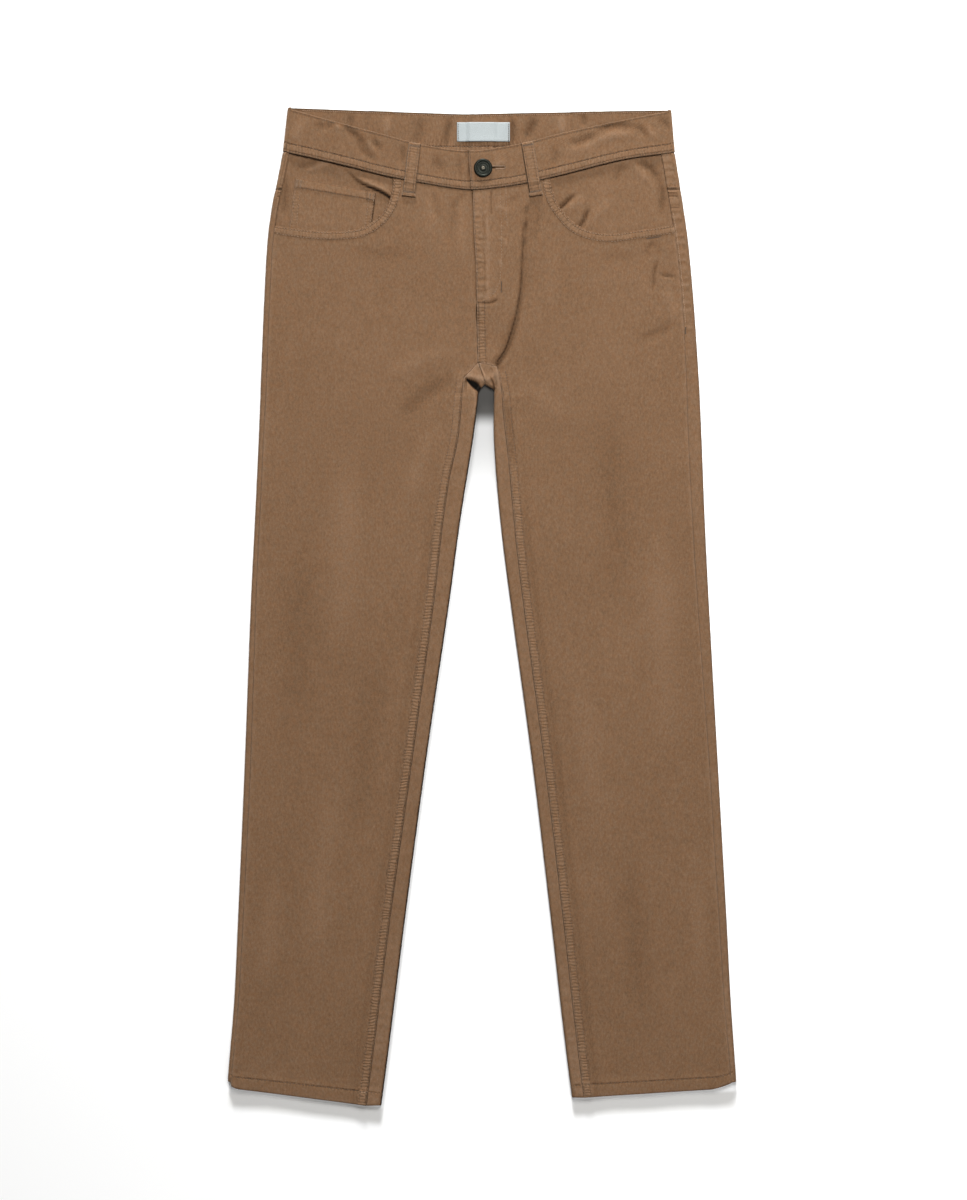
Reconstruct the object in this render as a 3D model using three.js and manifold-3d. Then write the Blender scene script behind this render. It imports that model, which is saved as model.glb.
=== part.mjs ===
// Corduroy trousers with five pockets, laid flat on a table with the front upwards.
// Millimetres. +X is the viewer's right, +Y points to the waist and +Z up from the table.
// The origin is on the table, at the middle of the garment's outline.
// A "drop" is a distance down from the top of the waist. "Right" and "left" are the wearer's,
// so the right leg lies on the -X side.
import * as THREE from "three";
import { mergeVertices } from "three/addons/utils/BufferGeometryUtils.js";
import Module from "manifold-3d";

// Driving sizes
const LENGTH = 1060; // from the top of the waist to the lowest hem
const CLOTH = 1.2; // one layer of corduroy
const BAND_CLOTH = 2.4; // the waistband: two layers and their stiffener
const PATCH_CLOTH = 1; // a pocket that is sewn on
const LOOP_CLOTH = 1.4; // a belt loop, folded in three
const LABEL_CLOTH = 0.6;
const GAP = 0.3; // between two pieces at a seam, or one on the other
const FELL_WIDTH = 8; // the double-stitched fold of a seam
const FELL_RAISE = 0.5;
const EDGE_REACH = 42; // how far the fullness of a folded edge reaches into a leg
const HIP_REACH = 110; // how far the fullness of the waistband reaches down
const BAND_STEP = 0.6; // the waistband's face lies this much above the cloth that it holds
const LOOP_WIDTH = 13;
const LOOP_SLACK = 0.8;
const HEM_DEPTH = 12.5;
const HEM_RAISE = 0.5;

const lerp = (a, b, t) => a + (b - a) * t;
const clamp01 = (t) => Math.min(1, Math.max(0, t));
const smooth = (low, high, value) => {
  const t = clamp01((value - low) / (high - low));
  return t * t * (3 - 2 * t);
};
// 1 at nothing, falling smoothly to 0 at 1
const bump = (t) => (Math.abs(t) < 1 ? (1 - t * t) ** 2 : 0);
const yOf = (drop) => LENGTH / 2 - drop;

// Turns rows of numbers into one smooth function for each column, by the first column.
function table(columns, rows) {
  const names = columns.split(" ");
  const keys = rows.map((row) => row[0]);
  const slopeAt = (column, i) => {
    const a = Math.max(0, i - 1);
    const b = Math.min(rows.length - 1, i + 1);
    return (rows[b][column] - rows[a][column]) / (keys[b] - keys[a]);
  };
  const read = (column) => (key) => {
    const at = Math.min(keys[keys.length - 1], Math.max(keys[0], key));
    let i = 0;
    while (i < keys.length - 2 && at > keys[i + 1]) i++;
    const span = keys[i + 1] - keys[i];
    const t = (at - keys[i]) / span;
    const [p, q] = [rows[i][column], rows[i + 1][column]];
    const [m, n] = [slopeAt(column, i) * span, slopeAt(column, i + 1) * span];
    return (
      (2 * t ** 3 - 3 * t ** 2 + 1) * p +
      (t ** 3 - 2 * t ** 2 + t) * m +
      (3 * t ** 2 - 2 * t ** 3) * q +
      (t ** 3 - t ** 2) * n
    );
  };
  return Object.fromEntries(names.slice(1).map((name, i) => [name, read(i + 1)]));
}

// The laid outline. Each leg's two folded edges, the height of those folds and the height of
// the cloth between them, by drop.
const LEG = table("drop outerRight innerRight innerLeft outerLeft roll mid", [
  [48, -211.5, -3.5, 10.9, 204.6, 7.9, 7.4],
  [81, -217.9, -3.5, 10.9, 209.9, 7.7, 7.3],
  [102, -222.5, -3.5, 10.9, 213.2, 7.5, 7.2],
  [140, -227.6, -3.5, 10.9, 218.6, 7.0, 6.8],
  [204, -231.3, -3.5, 10.9, 224.6, 6.3, 5.5],
  [294, -235.0, -3.5, 10.9, 230.7, 5.9, 4.6],
  [305, -235.3, -3.5, 10.9, 231.2, 5.8, 4.5],
  [353, -237.2, -9.6, 12.2, 233.3, 5.5, 4.1],
  [438, -241.2, -23.0, 19.4, 236.6, 5.4, 3.7],
  [523, -245.4, -34.4, 30.0, 240.8, 5.3, 3.6],
  [693, -251.9, -59.3, 53.1, 250.3, 5.2, 3.5],
  [863, -259.2, -81.9, 73.4, 259.8, 5.2, 3.5],
  [948, -263.2, -92.5, 82.9, 264.2, 5.2, 3.6],
  [1012, -268.4, -100.6, 90.6, 268.6, 5.1, 3.7],
  [1034, -270.0, -103.5, 93.4, 270.0, 5.0, 3.8],
  [1060, -270.0, -106.9, 96.6, 270.0, 5.0, 3.8],
]);

// How far inside each folded edge the seam lies, so that the back shows as a strip in front.
const STRIP = table("drop outerRight innerRight innerLeft outerLeft", [
  [48, 6.6, 17.4, 10.6, 14.5],
  [102, 6.3, 17.4, 10.6, 13.8],
  [204, 6.0, 17.4, 10.6, 12.2],
  [305, 6.0, 17.4, 10.6, 13.5],
  [353, 5.2, 16.2, 13.5, 14.0],
  [395, 5.2, 18.6, 14.7, 13.6],
  [523, 5.5, 16.5, 13.5, 12.0],
  [693, 6.4, 15.0, 13.0, 9.2],
  [863, 5.6, 16.0, 13.0, 8.0],
  [1060, 3.6, 16.0, 12.5, 5.2],
]);

// The waistband's edges, front and back, by x.
const BAND = table("x backTop frontTop frontBottom backBottom", [
  [-211, 0, 0, 47.5, 47.5],
  [-182, 1.0, 7.9, 53.6, 48],
  [-137, 2.7, 20.2, 64.1, 48.8],
  [-106, 3.9, 28.4, 72.1, 49.5],
  [-60, 5.5, 40.2, 81.2, 50.3],
  [-12, 6.9, 46.0, 87.7, 50.8],
  [21, 6.1, 42.4, 85.0, 50.6],
  [50, 5.4, 36.6, 80.2, 50.1],
  [84, 4.9, 27.6, 72.2, 49.5],
  [149, 3.3, 13.8, 56.0, 48.4],
  [205, 2.8, 2.8, 48.2, 48.2],
]);

// The waistband's folded ends, the crotch and the hems.
const BAND_FOLD = {
  right: { top: -206.2, bottom: -211.5 },
  left: { top: 201, bottom: 204.8 },
  height: 8,
};
const BAND_END = { under: 38, over: -11.5 };
const ARCH = { x: 3, drop: 293, height: 12 };
const CROTCH = { x: -4, drop: 271 };
const SADDLE = {
  right: { x: -18.6, drop: 287, outerDrop: 278 },
  left: { x: 15.9, drop: 275.5, outerDrop: 274 },
};
const HEM = {
  right: { outer: 1041, inner: 1060, corner: 7.5, cornerShare: 0.1 },
  left: { outer: 1041.5, inner: 1051.5, corner: 6, cornerShare: 0.16 },
  blendFrom: 948,
};
const YOKE = { side: 87.5, centre: 110 };

// The closing edges at the centre front, by drop: the fly's edge lies over the other front.
const CENTRE = table("drop flyEdge underEdge", [
  [80, -9.8, -1.8],
  [132, -8.6, -0.6],
  [166, -6.4, 1.6],
  [195, -5.8, 2.2],
  [210, -5.3, -5.6],
  [240, -4.8, -5.1],
  [271, -4.0, -4.3],
]);
// The fold that runs down beside the fly to the crotch.
const FLY_FOLD = table("drop x", [
  [60, 52],
  [102, 48.6],
  [144, 43.4],
  [203, 38.9],
  [253, 25.5],
  [271, 15],
]);
const FLY_LIFT = { height: 2, from: 210, to: 225 };
const FLY_RIDGE = { height: 2.2, low: 90, high: 240, fadeFrom: 262, fadeTo: 285, decay: 14 };

// The curved pocket mouths, as points that a smooth curve runs through: x and drop.
const MOUTH = {
  right: [
    [-94, 66],
    [-95, 85],
    [-100, 103],
    [-112, 119],
    [-133, 130],
    [-173, 131.6],
    [-230, 124.6],
  ],
  left: [
    [72, 66],
    [75, 90],
    [84, 108],
    [103, 127],
    [133, 134.4],
    [167, 130.6],
    [210, 124.4],
  ],
};
const FACING = {
  right: { inner: -76, bottom: 152, sunk: 2.8, rows: 12, columns: 16 },
  left: { inner: 54, bottom: 154, sunk: 1.9, rows: 7, columns: 9 },
};
// The facing of the right pocket bulges out under the waistband, above this curved crease.
const POCKET_FOLD = { from: [-147, 62], via: [-121, 79], to: [-97, 97], height: 2.6, decay: 10 };
const COIN = {
  topOuter: [-197.7, 74.4],
  topInner: [-112.4, 90.8],
  bottomInner: [-119.5, 141],
  bottomOuter: [-205.5, 138],
  hem: 10,
};
const BACK_POCKET = { centre: 100, top: 120, width: 142, taper: 5, height: 128, point: 18 };
const LIFT = { pocket: PATCH_CLOTH + GAP, loop: LOOP_CLOTH + GAP };
const BACK_LOOPS = [
  { name: "belt_loop_back_right", x: -110 },
  { name: "belt_loop_centre_back", x: 0 },
  { name: "belt_loop_back_left", x: 110 },
];
const BACK_LOOP_END = 60;
const FRONT_LOOPS = [
  { name: "belt_loop_front_right", side: "right", top: [-71.2, 38.2], bottom: [-78.1, 95.3] },
  { name: "belt_loop_front_left", side: "left", top: [47.8, 37.4], bottom: [57.4, 94.8] },
];
const BUTTON = { x: 1.2, drop: 63.8, radius: 8.6, shank: 3.2 };
const BUTTONHOLE = { end: 23.6, width: 2, eye: 3.6 };
const ZIP = { width: 24, top: 92, bottom: 200 };
const LABEL = { x: 1, drop: 25, width: 57, height: 21 };

const COLOUR = {
  cloth: 0x8b6a50,
  metal: 0x3a3d38,
  label: 0xcdd6d6,
  tape: 0x7a5d46,
};

const signOf = (side) => (side === "right" ? -1 : 1);
const key = (edge, side) => edge + (side === "right" ? "Right" : "Left");
const bandBottom = (x) => BAND.frontBottom(x);

// Height of the waistband's upper face in front. Its left end lies over its right end.
function bandHeight(side, x) {
  const fold = BAND_FOLD[side].bottom;
  const full = bump((x - fold) / EDGE_REACH);
  return side === "right"
    ? 7.4 + 0.6 * full - 0.8 * smooth(-70, -25, x)
    : 7.6 + 0.4 * full + 1.7 * (1 - smooth(45, 95, x));
}

// How far the cloth beside the fly stands above the rest of the left front.
function flyLift(x, drop) {
  const inside = FLY_FOLD.x(drop) - x;
  const flap = FLY_LIFT.height * (1 - smooth(FLY_LIFT.from, FLY_LIFT.to, drop));
  const ridge =
    FLY_RIDGE.height *
    smooth(FLY_RIDGE.low, FLY_RIDGE.high, drop) *
    (1 - smooth(FLY_RIDGE.fadeFrom, FLY_RIDGE.fadeTo, drop));
  const fade = Math.exp(-Math.max(0, inside) / FLY_RIDGE.decay);
  return smooth(-4, 1, inside) * (flap + ridge * fade);
}

// Height of the garment's upper face over the table.
function topHeight(side, x, drop) {
  const swell = bump((x - LEG[key("outer", side)](drop)) / EDGE_REACH);
  const inner = drop > ARCH.drop + ARCH.height ? LEG[key("inner", side)](drop) : ARCH.x;
  const innerSwell = bump((x - inner) / EDGE_REACH) * smooth(230, 290, drop);
  const mid = LEG.mid(drop);
  const leg = mid + (LEG.roll(drop) - mid) * Math.max(swell, innerSwell);
  const hip = bump(Math.max(0, drop - bandBottom(x)) / HIP_REACH);
  const lift = side === "left" ? flyLift(x, drop) * (1 - hip) : 0;
  return lerp(leg, bandHeight(side, x) - BAND_STEP, hip) + lift;
}

// A closed wall from a grid of places. Each place has its two skins, outer and inner, and a
// cell is left out where skip says so.
function wall(places, skip = () => false) {
  const columns = places[0].length;
  const index = (i, j, inner) => 2 * (i * columns + j) + inner;
  const positions = places.flat().flatMap(({ outer, inner }) => [...outer, ...inner]);
  const faces = [];
  const quad = (a, b, c, d) => faces.push(a, b, c, a, c, d);
  const has = (i, j) =>
    i >= 0 && j >= 0 && i < places.length - 1 && j < columns - 1 && !skip(i, j);
  for (let i = 0; i < places.length - 1; i++)
    for (let j = 0; j < columns - 1; j++) {
      if (!has(i, j)) continue;
      const corners = [
        [i, j],
        [i, j + 1],
        [i + 1, j + 1],
        [i + 1, j],
      ];
      quad(...corners.map(([a, b]) => index(a, b, 0)));
      quad(...corners.map(([a, b]) => index(a, b, 1)).reverse());
      const beyond = [has(i - 1, j), has(i, j + 1), has(i + 1, j), has(i, j - 1)];
      corners.forEach(([a, b], side) => {
        const [c, d] = corners[(side + 1) % 4];
        if (!beyond[side])
          quad(index(a, b, 1), index(c, d, 1), index(c, d, 0), index(a, b, 0));
      });
    }
  const geometry = new THREE.BufferGeometry();
  geometry.setAttribute("position", new THREE.Float32BufferAttribute(positions, 3));
  geometry.setIndex(faces);
  return mergeVertices(geometry, 1e-4);
}

// One place of a wall: its middle, the direction its outer skin faces, and a raised outer skin.
function place(x, y, z, normal, thickness, raise = 0) {
  const reach = (distance) => [
    x + normal[0] * distance,
    y + normal[1] * distance,
    z + normal[2] * distance,
  ];
  return { outer: reach(thickness / 2 + raise), inner: reach(-thickness / 2) };
}
// A place of a wall that lies flat, under a given height.
function flatPlace(x, drop, top, thickness, raise = 0) {
  return {
    outer: [x, yOf(drop), top + raise],
    inner: [x, yOf(drop), top - thickness],
  };
}

const wasm = await Module();
wasm.setup();

function toSolid(geometry) {
  const bare = geometry.clone();
  bare.deleteAttribute("normal");
  bare.deleteAttribute("uv");
  const merged = mergeVertices(bare, 1e-4);
  return new wasm.Manifold(
    new wasm.Mesh({
      numProp: 3,
      vertProperties: merged.attributes.position.array,
      triVerts: new Uint32Array(merged.index.array),
    }),
  );
}

function toGeometry(solid) {
  const { vertProperties, triVerts } = solid.getMesh();
  const geometry = new THREE.BufferGeometry();
  geometry.setAttribute("position", new THREE.BufferAttribute(vertProperties, 3));
  geometry.setIndex(new THREE.BufferAttribute(triVerts, 1));
  return geometry;
}

const cut = (geometry, tool) => toGeometry(toSolid(geometry).subtract(toSolid(tool)));

// A wall whose faces point in is turned, so that the same grid serves both sides.
function facingOut(geometry) {
  if (toSolid(geometry).volume() > 0) return geometry;
  const order = geometry.index.array;
  for (let i = 0; i < order.length; i += 3)
    [order[i + 1], order[i + 2]] = [order[i + 2], order[i + 1]];
  return geometry;
}

function prism(outline, low, high) {
  const shape = new THREE.Shape(outline.map(([x, drop]) => new THREE.Vector2(x, yOf(drop))));
  const geometry = new THREE.ExtrudeGeometry(shape, { depth: high - low, bevelEnabled: false });
  return geometry.translate(0, 0, low);
}

const trousers = new THREE.Group();
const finish = {
  cloth: [COLOUR.cloth, 0.95, 0],
  metal: [COLOUR.metal, 0.45, 0.9],
  label: [COLOUR.label, 0.7, 0],
  tape: [COLOUR.tape, 0.8, 0],
};
function add(name, geometry, kind = "cloth") {
  const [color, roughness, metalness] = finish[kind];
  const material = new THREE.MeshStandardMaterial({ color, roughness, metalness });
  geometry.computeVertexNormals();
  const mesh = new THREE.Mesh(geometry, material);
  mesh.name = name;
  trousers.add(mesh);
}

// The rows that fronts and backs share, each with its outer and its inner end.
const HIP_ROWS = 12;
const HIP_END = 262;
const FLY_END = 205;
const LEG_DROPS = [
  320, 340, 360, 380, 400, 425, 455, 490, 530, 575, 625, 680, 740, 800, 860, 910, 948, 985, 1012,
];
const LEG_ROWS = LEG_DROPS.map((drop) => ({ outer: drop, inner: drop, hem: 0 }));
const hemRows = (side) =>
  [HEM_DEPTH, HEM_DEPTH - 1, 0].map((up) => ({
    outer: HEM[side].outer - HEM[side].corner - up,
    inner: HEM[side].inner - up,
    hem: 1,
  }));

// The hem's line bends down from its rounded outer corner. share is 0 at the outer end.
function hemBend(side, share) {
  const { outer, inner, corner, cornerShare } = HEM[side];
  const straight = lerp(outer, inner, share);
  const chord = lerp(outer - corner, inner, share);
  return straight - corner * (1 - clamp01(share / cornerShare)) ** 2 - chord;
}

const seamX = (edge, side, drop) => {
  const inward = -signOf(side) * (edge === "outer" ? 1 : -1);
  return LEG[key(edge, side)](drop) + inward * STRIP[key(edge, side)](drop);
};

// Rows below the crotch: where the inner seam runs down the leg.
function lowerRows(side) {
  const archFoot = ARCH.drop + ARCH.height;
  const first = { outer: archFoot - 9, inner: archFoot, hem: 0 };
  const rows = [first, ...LEG_ROWS, ...hemRows(side)];
  return rows.map((row) => ({
    ...row,
    outerX: seamX("outer", side, row.outer),
    innerX: seamX("inner", side, row.inner),
  }));
}

// Rows of a front panel, from the waistband down.
function frontRows(side) {
  const edge = side === "right" ? CENTRE.underEdge : CENTRE.flyEdge;
  const hip = [];
  const outerTop = bandBottom(seamX("outer", side, 50)) + GAP;
  const innerTop = bandBottom(edge(88)) + GAP;
  for (let i = 0; i <= HIP_ROWS; i++) {
    const t = i / HIP_ROWS;
    const outer = lerp(outerTop, HIP_END, t);
    const inner = lerp(innerTop, CROTCH.drop, t);
    hip.push({
      outer,
      inner,
      hem: 0,
      band: 1 - smooth(0, 0.5, t),
      outerX: seamX("outer", side, outer),
      innerX: edge(inner),
    });
  }
  const { x, drop, outerDrop } = SADDLE[side];
  const saddle = {
    outer: outerDrop,
    inner: drop,
    hem: 0,
    outerX: seamX("outer", side, outerDrop),
    innerX: x,
  };
  return [...hip, saddle, ...lowerRows(side)];
}

// Distances in from the two seams at which a front has its columns, and the shares between.
const SEAM_COLUMNS = [0, FELL_WIDTH, FELL_WIDTH + 2, 24, 42, 62];
function frontColumns(side, row) {
  const width = Math.abs(row.innerX - row.outerX);
  const outerPart = SEAM_COLUMNS.map((distance) => distance / width);
  const foldAt =
    side === "left" && row.inner <= CROTCH.drop
      ? Math.abs(FLY_FOLD.x(row.inner) - row.innerX)
      : 26;
  const fold = Math.max(FELL_WIDTH + 4, foldAt);
  const innerPart = [fold + 40, fold + 20, fold + 5, fold, (fold + FELL_WIDTH) / 2 + 1]
    .concat([FELL_WIDTH + 1, FELL_WIDTH, 0])
    .map((distance) => 1 - distance / width);
  return [...outerPart, (outerPart[5] + innerPart[0]) / 2, ...innerPart];
}

// A front panel. Its uppermost rows bend along the waistband's edge, and its lowest at the hem.
function frontPanel(side) {
  const rows = frontRows(side);
  const [first] = rows;
  const gap = (GAP / 2) * signOf(side);
  const places = rows.map((row) => {
    const shares = frontColumns(side, row);
    const hemShare = row.hem || smooth(HEM.blendFrom, HEM[side].outer, row.outer);
    return shares.map((share, j) => {
      const x = lerp(row.outerX, row.innerX, share);
      const bandBend = bandBottom(x) + GAP - lerp(first.outer, first.inner, share);
      const bend = (row.band ?? 0) * bandBend + hemShare * hemBend(side, share);
      const drop = lerp(row.outer, row.inner, share) + bend;
      const felled = j < 2 || (j > shares.length - 3 && row.inner > CROTCH.drop);
      const seamRaise = felled ? FELL_RAISE : 0;
      const seat = share === 0 ? -gap : share === 1 && row.inner > FLY_END ? gap : 0;
      const top = topHeight(side, x, drop);
      return flatPlace(x + seat, drop, top, CLOTH, row.hem ? HEM_RAISE : seamRaise);
    });
  });
  const curve = new THREE.SplineCurve(MOUTH[side].map(([x, drop]) => new THREE.Vector2(x, drop)));
  const mouth = curve.getPoints(26).map(({ x, y }) => [x, y]);
  const beyond = MOUTH[side][MOUTH[side].length - 1][0] + 20 * signOf(side);
  const outline = [...mouth, [beyond, 124], [beyond, 20], [MOUTH[side][0][0], 20]];
  return cut(facingOut(wall(places)), prism(outline, 0, 20));
}

// The curve along which a back panel folds at its inner edge: up the leg, then over the arch.
const ARCH_STEPS = 4;
function archPoints(side) {
  const foot = LEG[key("inner", side)](ARCH.drop + ARCH.height);
  const points = [];
  for (let i = 1; i <= ARCH_STEPS; i++) {
    const angle = (i / ARCH_STEPS) * (Math.PI / 2);
    points.push([
      ARCH.x + (foot - ARCH.x) * Math.cos(angle),
      ARCH.drop + ARCH.height * (1 - Math.sin(angle)),
    ]);
  }
  return points;
}

// The way out of the cloth, in plan, across a run of points that goes up the inner edge.
function outward(points, i, side) {
  const a = points[Math.max(0, i - 1)];
  const b = points[Math.min(points.length - 1, i + 1)];
  const [dx, dy] = [b[0] - a[0], yOf(b[1]) - yOf(a[1])];
  const long = Math.hypot(dx, dy);
  const turn = -signOf(side);
  return [(turn * dy) / long, (-turn * dx) / long];
}

const CURL_STEPS = 5;
// The wrapped part of a back panel at one fold: from its seam over the fold to the table.
function foldedEdge(side, fold, out, seam, strips) {
  const radius = LEG.roll(fold[1]) / 2;
  const start = [fold[0] - out[0] * radius, yOf(fold[1]) - out[1] * radius];
  const places = [];
  for (let i = 0; i < strips; i++) {
    const t = i / strips;
    const x = lerp(seam[0], start[0], t);
    const drop = LENGTH / 2 - lerp(yOf(seam[1]), start[1], t);
    places.push(flatPlace(x, drop, topHeight(side, x, drop), CLOTH));
  }
  for (let i = 0; i <= CURL_STEPS; i++) {
    const angle = Math.PI * (0.5 - i / CURL_STEPS);
    const [along, up] = [Math.cos(angle), Math.sin(angle)];
    const reach = radius - CLOTH / 2;
    places.push(
      place(
        start[0] + out[0] * reach * along,
        start[1] + out[1] * reach * along,
        radius + reach * up,
        [out[0] * along, out[1] * along, up],
        CLOTH,
      ),
    );
  }
  return places;
}

const SEAT_ROWS = 7;
const SEAT_EDGE = 236; // where the seat's rows begin, at the outer edge
const POCKET_FOOT = 285; // the back panels are lifted by the patch pockets above this
const BACK_SHARES = [0.1, 0.19, 0.5, 0.9, 0.97];
const inPlateau = (share) => share > 0.15 && share < 0.93;
// The stretch of a back panel that lies on the table, or on the pocket under it.
function floorPlaces(from, to, lifted, shares, bend) {
  return shares.map((share) => {
    const lift = lifted(share);
    const x = lerp(from.x, to.x, share);
    const drop = lerp(from.drop, to.drop, share) + bend(share);
    return place(x, yOf(drop), CLOTH / 2 + lift, [0, 0, -1], CLOTH);
  });
}

// Joins the two in-plan ends of the stretch on the table to the folds beside it.
const footOf = (places) => {
  const last = places[places.length - 1];
  return { x: last.outer[0], drop: LENGTH / 2 - last.outer[1] };
};

// A back panel: a leg that is wrapped at both edges, and a seat that is wrapped at its outer
// edge and ends at the centre seam.
function backPanel(side) {
  const sign = signOf(side);
  const seamGap = (sign * GAP) / 2;
  const leg = lowerRows(side).reverse();
  const fold = [...leg.map(({ inner }) => [LEG[key("inner", side)](inner), inner]), ...archPoints(side)];
  const innerSeam = [...leg.map((row) => [row.innerX - seamGap, row.inner]), ...saddleSeam(side)];
  const seatEdge = [SADDLE[side].outerDrop, HIP_END, HIP_END - 13, SEAT_EDGE];
  const outerDrops = [...leg.map((row) => row.outer), ...seatEdge];
  const rows = outerDrops.map((outerDrop, i) => {
    const isJoin = i === fold.length - 1;
    const out = isJoin ? [0, -1] : outward(fold, i, side);
    const innerEdge = foldedEdge(side, fold[i], out, innerSeam[i], 2);
    const outerEdge = outerFold(side, outerDrop);
    if (isJoin) innerEdge.forEach((spot) => shiftX(spot, seamGap));
    const lifted = (share) => (outerDrop < POCKET_FOOT && inPlateau(share) ? LIFT.pocket : 0);
    const hemShare = leg[i]?.hem || smooth(HEM.blendFrom, HEM[side].outer, outerDrop);
    const bend = (share) => hemShare * hemBend(side, share);
    const ends = [footOf(outerEdge), footOf(innerEdge)];
    return [...outerEdge, ...floorPlaces(...ends, lifted, BACK_SHARES, bend), ...innerEdge.reverse()];
  });
  const archTop = ARCH.drop - LEG.roll(ARCH.drop) / 2;
  for (let i = 1; i <= SEAT_ROWS; i++) {
    const t = i / SEAT_ROWS;
    const outerEdge = outerFold(side, lerp(SEAT_EDGE, YOKE.side + GAP, t));
    const end = { x: lerp(ARCH.x, 0, t) + seamGap, drop: lerp(archTop, YOKE.centre + GAP, t) };
    const lifted = (share) => (i < SEAT_ROWS && inPlateau(share) ? LIFT.pocket : 0);
    const middle = floorPlaces(footOf(outerEdge), end, lifted, [...BACK_SHARES, 1], () => 0);
    const row = [...outerEdge, ...middle];
    const unused = Array(rows[0].length - row.length).fill(row[row.length - 1]);
    rows.push([...row, ...unused]);
  }
  const seatColumns = CURL_STEPS + 2 + BACK_SHARES.length;
  return facingOut(wall(rows, (i, j) => i >= outerDrops.length - 1 && j >= seatColumns));
}

// The seam points of a back panel from the foot of the arch to the crotch, one for each arch row.
function saddleSeam(side) {
  const { x, drop } = SADDLE[side];
  const sign = signOf(side);
  const points = [];
  for (let i = 1; i <= ARCH_STEPS; i++) {
    const t = (i - 1) / (ARCH_STEPS - 1);
    points.push([lerp(x, CROTCH.x, t) + 0.12 * sign, lerp(drop, CROTCH.drop, t) + 0.35]);
  }
  return points;
}

function shiftX(spot, amount) {
  spot.outer[0] += amount;
  spot.inner[0] += amount;
}

// The fold at a back panel's outer edge, from its seam in front down to the table.
function outerFold(side, drop, seamDrop = drop) {
  const sign = signOf(side);
  const fold = [LEG[key("outer", side)](drop), drop];
  const seam = [seamX("outer", side, drop) + (sign * GAP) / 2, seamDrop];
  return foldedEdge(side, fold, [sign, 0], seam, 1);
}

const plateau = (x, centre, half, ramp) => 1 - smooth(half, half + ramp, Math.abs(x - centre));
const loopLift = (x) =>
  LIFT.loop * Math.max(...BACK_LOOPS.map((loop) => plateau(x, loop.x, LOOP_WIDTH / 2 + 4.5, 5)));

// A yoke joins the waistband to the back, and folds to the front at the side.
const YOKE_X = [170, 126, 121, 99, 94, 50, 16, 11, GAP / 2];
function yoke(side) {
  const sign = signOf(side);
  const steps = [0, 14, 20, 36];
  const top = (x) => BAND.backBottom(x) + GAP;
  const rows = [...steps, null].map((down) => {
    const last = down === null;
    const outerDrop = last ? YOKE.side : top(sign * 208) + down * 0.85;
    const seamDrop = bandBottom(seamX("outer", side, outerDrop)) + GAP;
    const outerEdge = outerFold(side, outerDrop, Math.max(outerDrop, seamDrop));
    const from = footOf(outerEdge);
    const floor = YOKE_X.map((distance) => {
      const x = sign * distance;
      const share = 1 - distance / Math.abs(from.x);
      const drop = last ? lerp(YOKE.side, YOKE.centre, share) : top(x) + down;
      const lift = !last && down <= 14 ? loopLift(x) : 0;
      return place(x, yOf(drop), CLOTH / 2 + lift, [0, 0, -1], CLOTH);
    });
    return [...outerEdge, ...floor];
  });
  return facingOut(wall(rows));
}

// The waistband is one strip that goes round, from its under end to its upper end.
const BAND_ROWS = [0, 0.22, 0.24, 0.6, 1];
const BAND_STITCH = 0.23;
function bandX(side, share, across) {
  const { top, bottom } = BAND_FOLD[side];
  return share * lerp(bottom, top, across);
}
function bandFrontColumn(side, x) {
  const foldX = BAND_FOLD[side].bottom;
  return BAND_ROWS.map((across) => {
    const at = x < 0 === foldX < 0 ? bandX(side, x / foldX, across) : x;
    const drop = lerp(BAND.frontBottom(at), BAND.frontTop(at), across);
    const raise = across > 0 && across < BAND_STITCH ? 0.3 : 0;
    return flatPlace(at, drop, bandHeight(side, x), BAND_CLOTH, raise);
  });
}
function bandBackColumn(x) {
  const side = x < 0 ? "right" : "left";
  const foldX = BAND_FOLD[side].bottom;
  return BAND_ROWS.map((across) => {
    const at = bandX(side, x / foldX, across);
    const drop = lerp(BAND.backBottom(at), BAND.backTop(at), across);
    return place(at, yOf(drop), BAND_CLOTH / 2 + loopLift(x), [0, 0, -1], BAND_CLOTH);
  });
}
function bandCurl(side) {
  const radius = BAND_FOLD.height / 2;
  const reach = radius - BAND_CLOTH / 2;
  const sign = signOf(side);
  const columns = [];
  const CURLS = 7;
  for (let i = 0; i <= CURLS; i++) {
    const angle = Math.PI * (0.5 - i / CURLS);
    const [along, up] = [Math.cos(angle), Math.sin(angle)];
    columns.push(
      BAND_ROWS.map((across) => {
        const foldX = lerp(BAND_FOLD[side].bottom, BAND_FOLD[side].top, across);
        const x = foldX - sign * radius + sign * reach * along;
        const drop = lerp(BAND.backBottom(foldX), BAND.backTop(foldX), across);
        return place(x, yOf(drop), radius + reach * up, [sign * along, 0, up], BAND_CLOTH);
      }),
    );
  }
  return columns;
}
function waistband() {
  const rightFront = [BAND_END.under, 20, 0, -25, -40, -55, -70, -100, -130, -160, -185];
  const back = [-170, -126, -121, -99, -94, -50, -16, -11];
  const leftFront = [185, 160, 130, 100, 85, 70, 55, 40, 20, 0, BAND_END.over];
  const mirrored = back.map((x) => -x).reverse();
  const columns = [
    ...rightFront.map((x) => bandFrontColumn("right", x)),
    ...bandCurl("right"),
    ...[...back, ...mirrored].map(bandBackColumn),
    ...bandCurl("left").reverse(),
    ...leftFront.map((x) => bandFrontColumn("left", x)),
  ];
  const eye = new THREE.Path().absarc(BUTTON.x, BUTTON.drop, BUTTONHOLE.eye, 0.3, 5.98);
  const half = BUTTONHOLE.width / 2;
  const slot = [
    [BUTTONHOLE.end, BUTTON.drop - half],
    [BUTTONHOLE.end, BUTTON.drop + half],
  ];
  const outline = [...slot, ...eye.getPoints(8).map(({ x, y }) => [x, y])];
  return cut(facingOut(wall(columns)), prism(outline, 6.75, 14));
}

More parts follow.
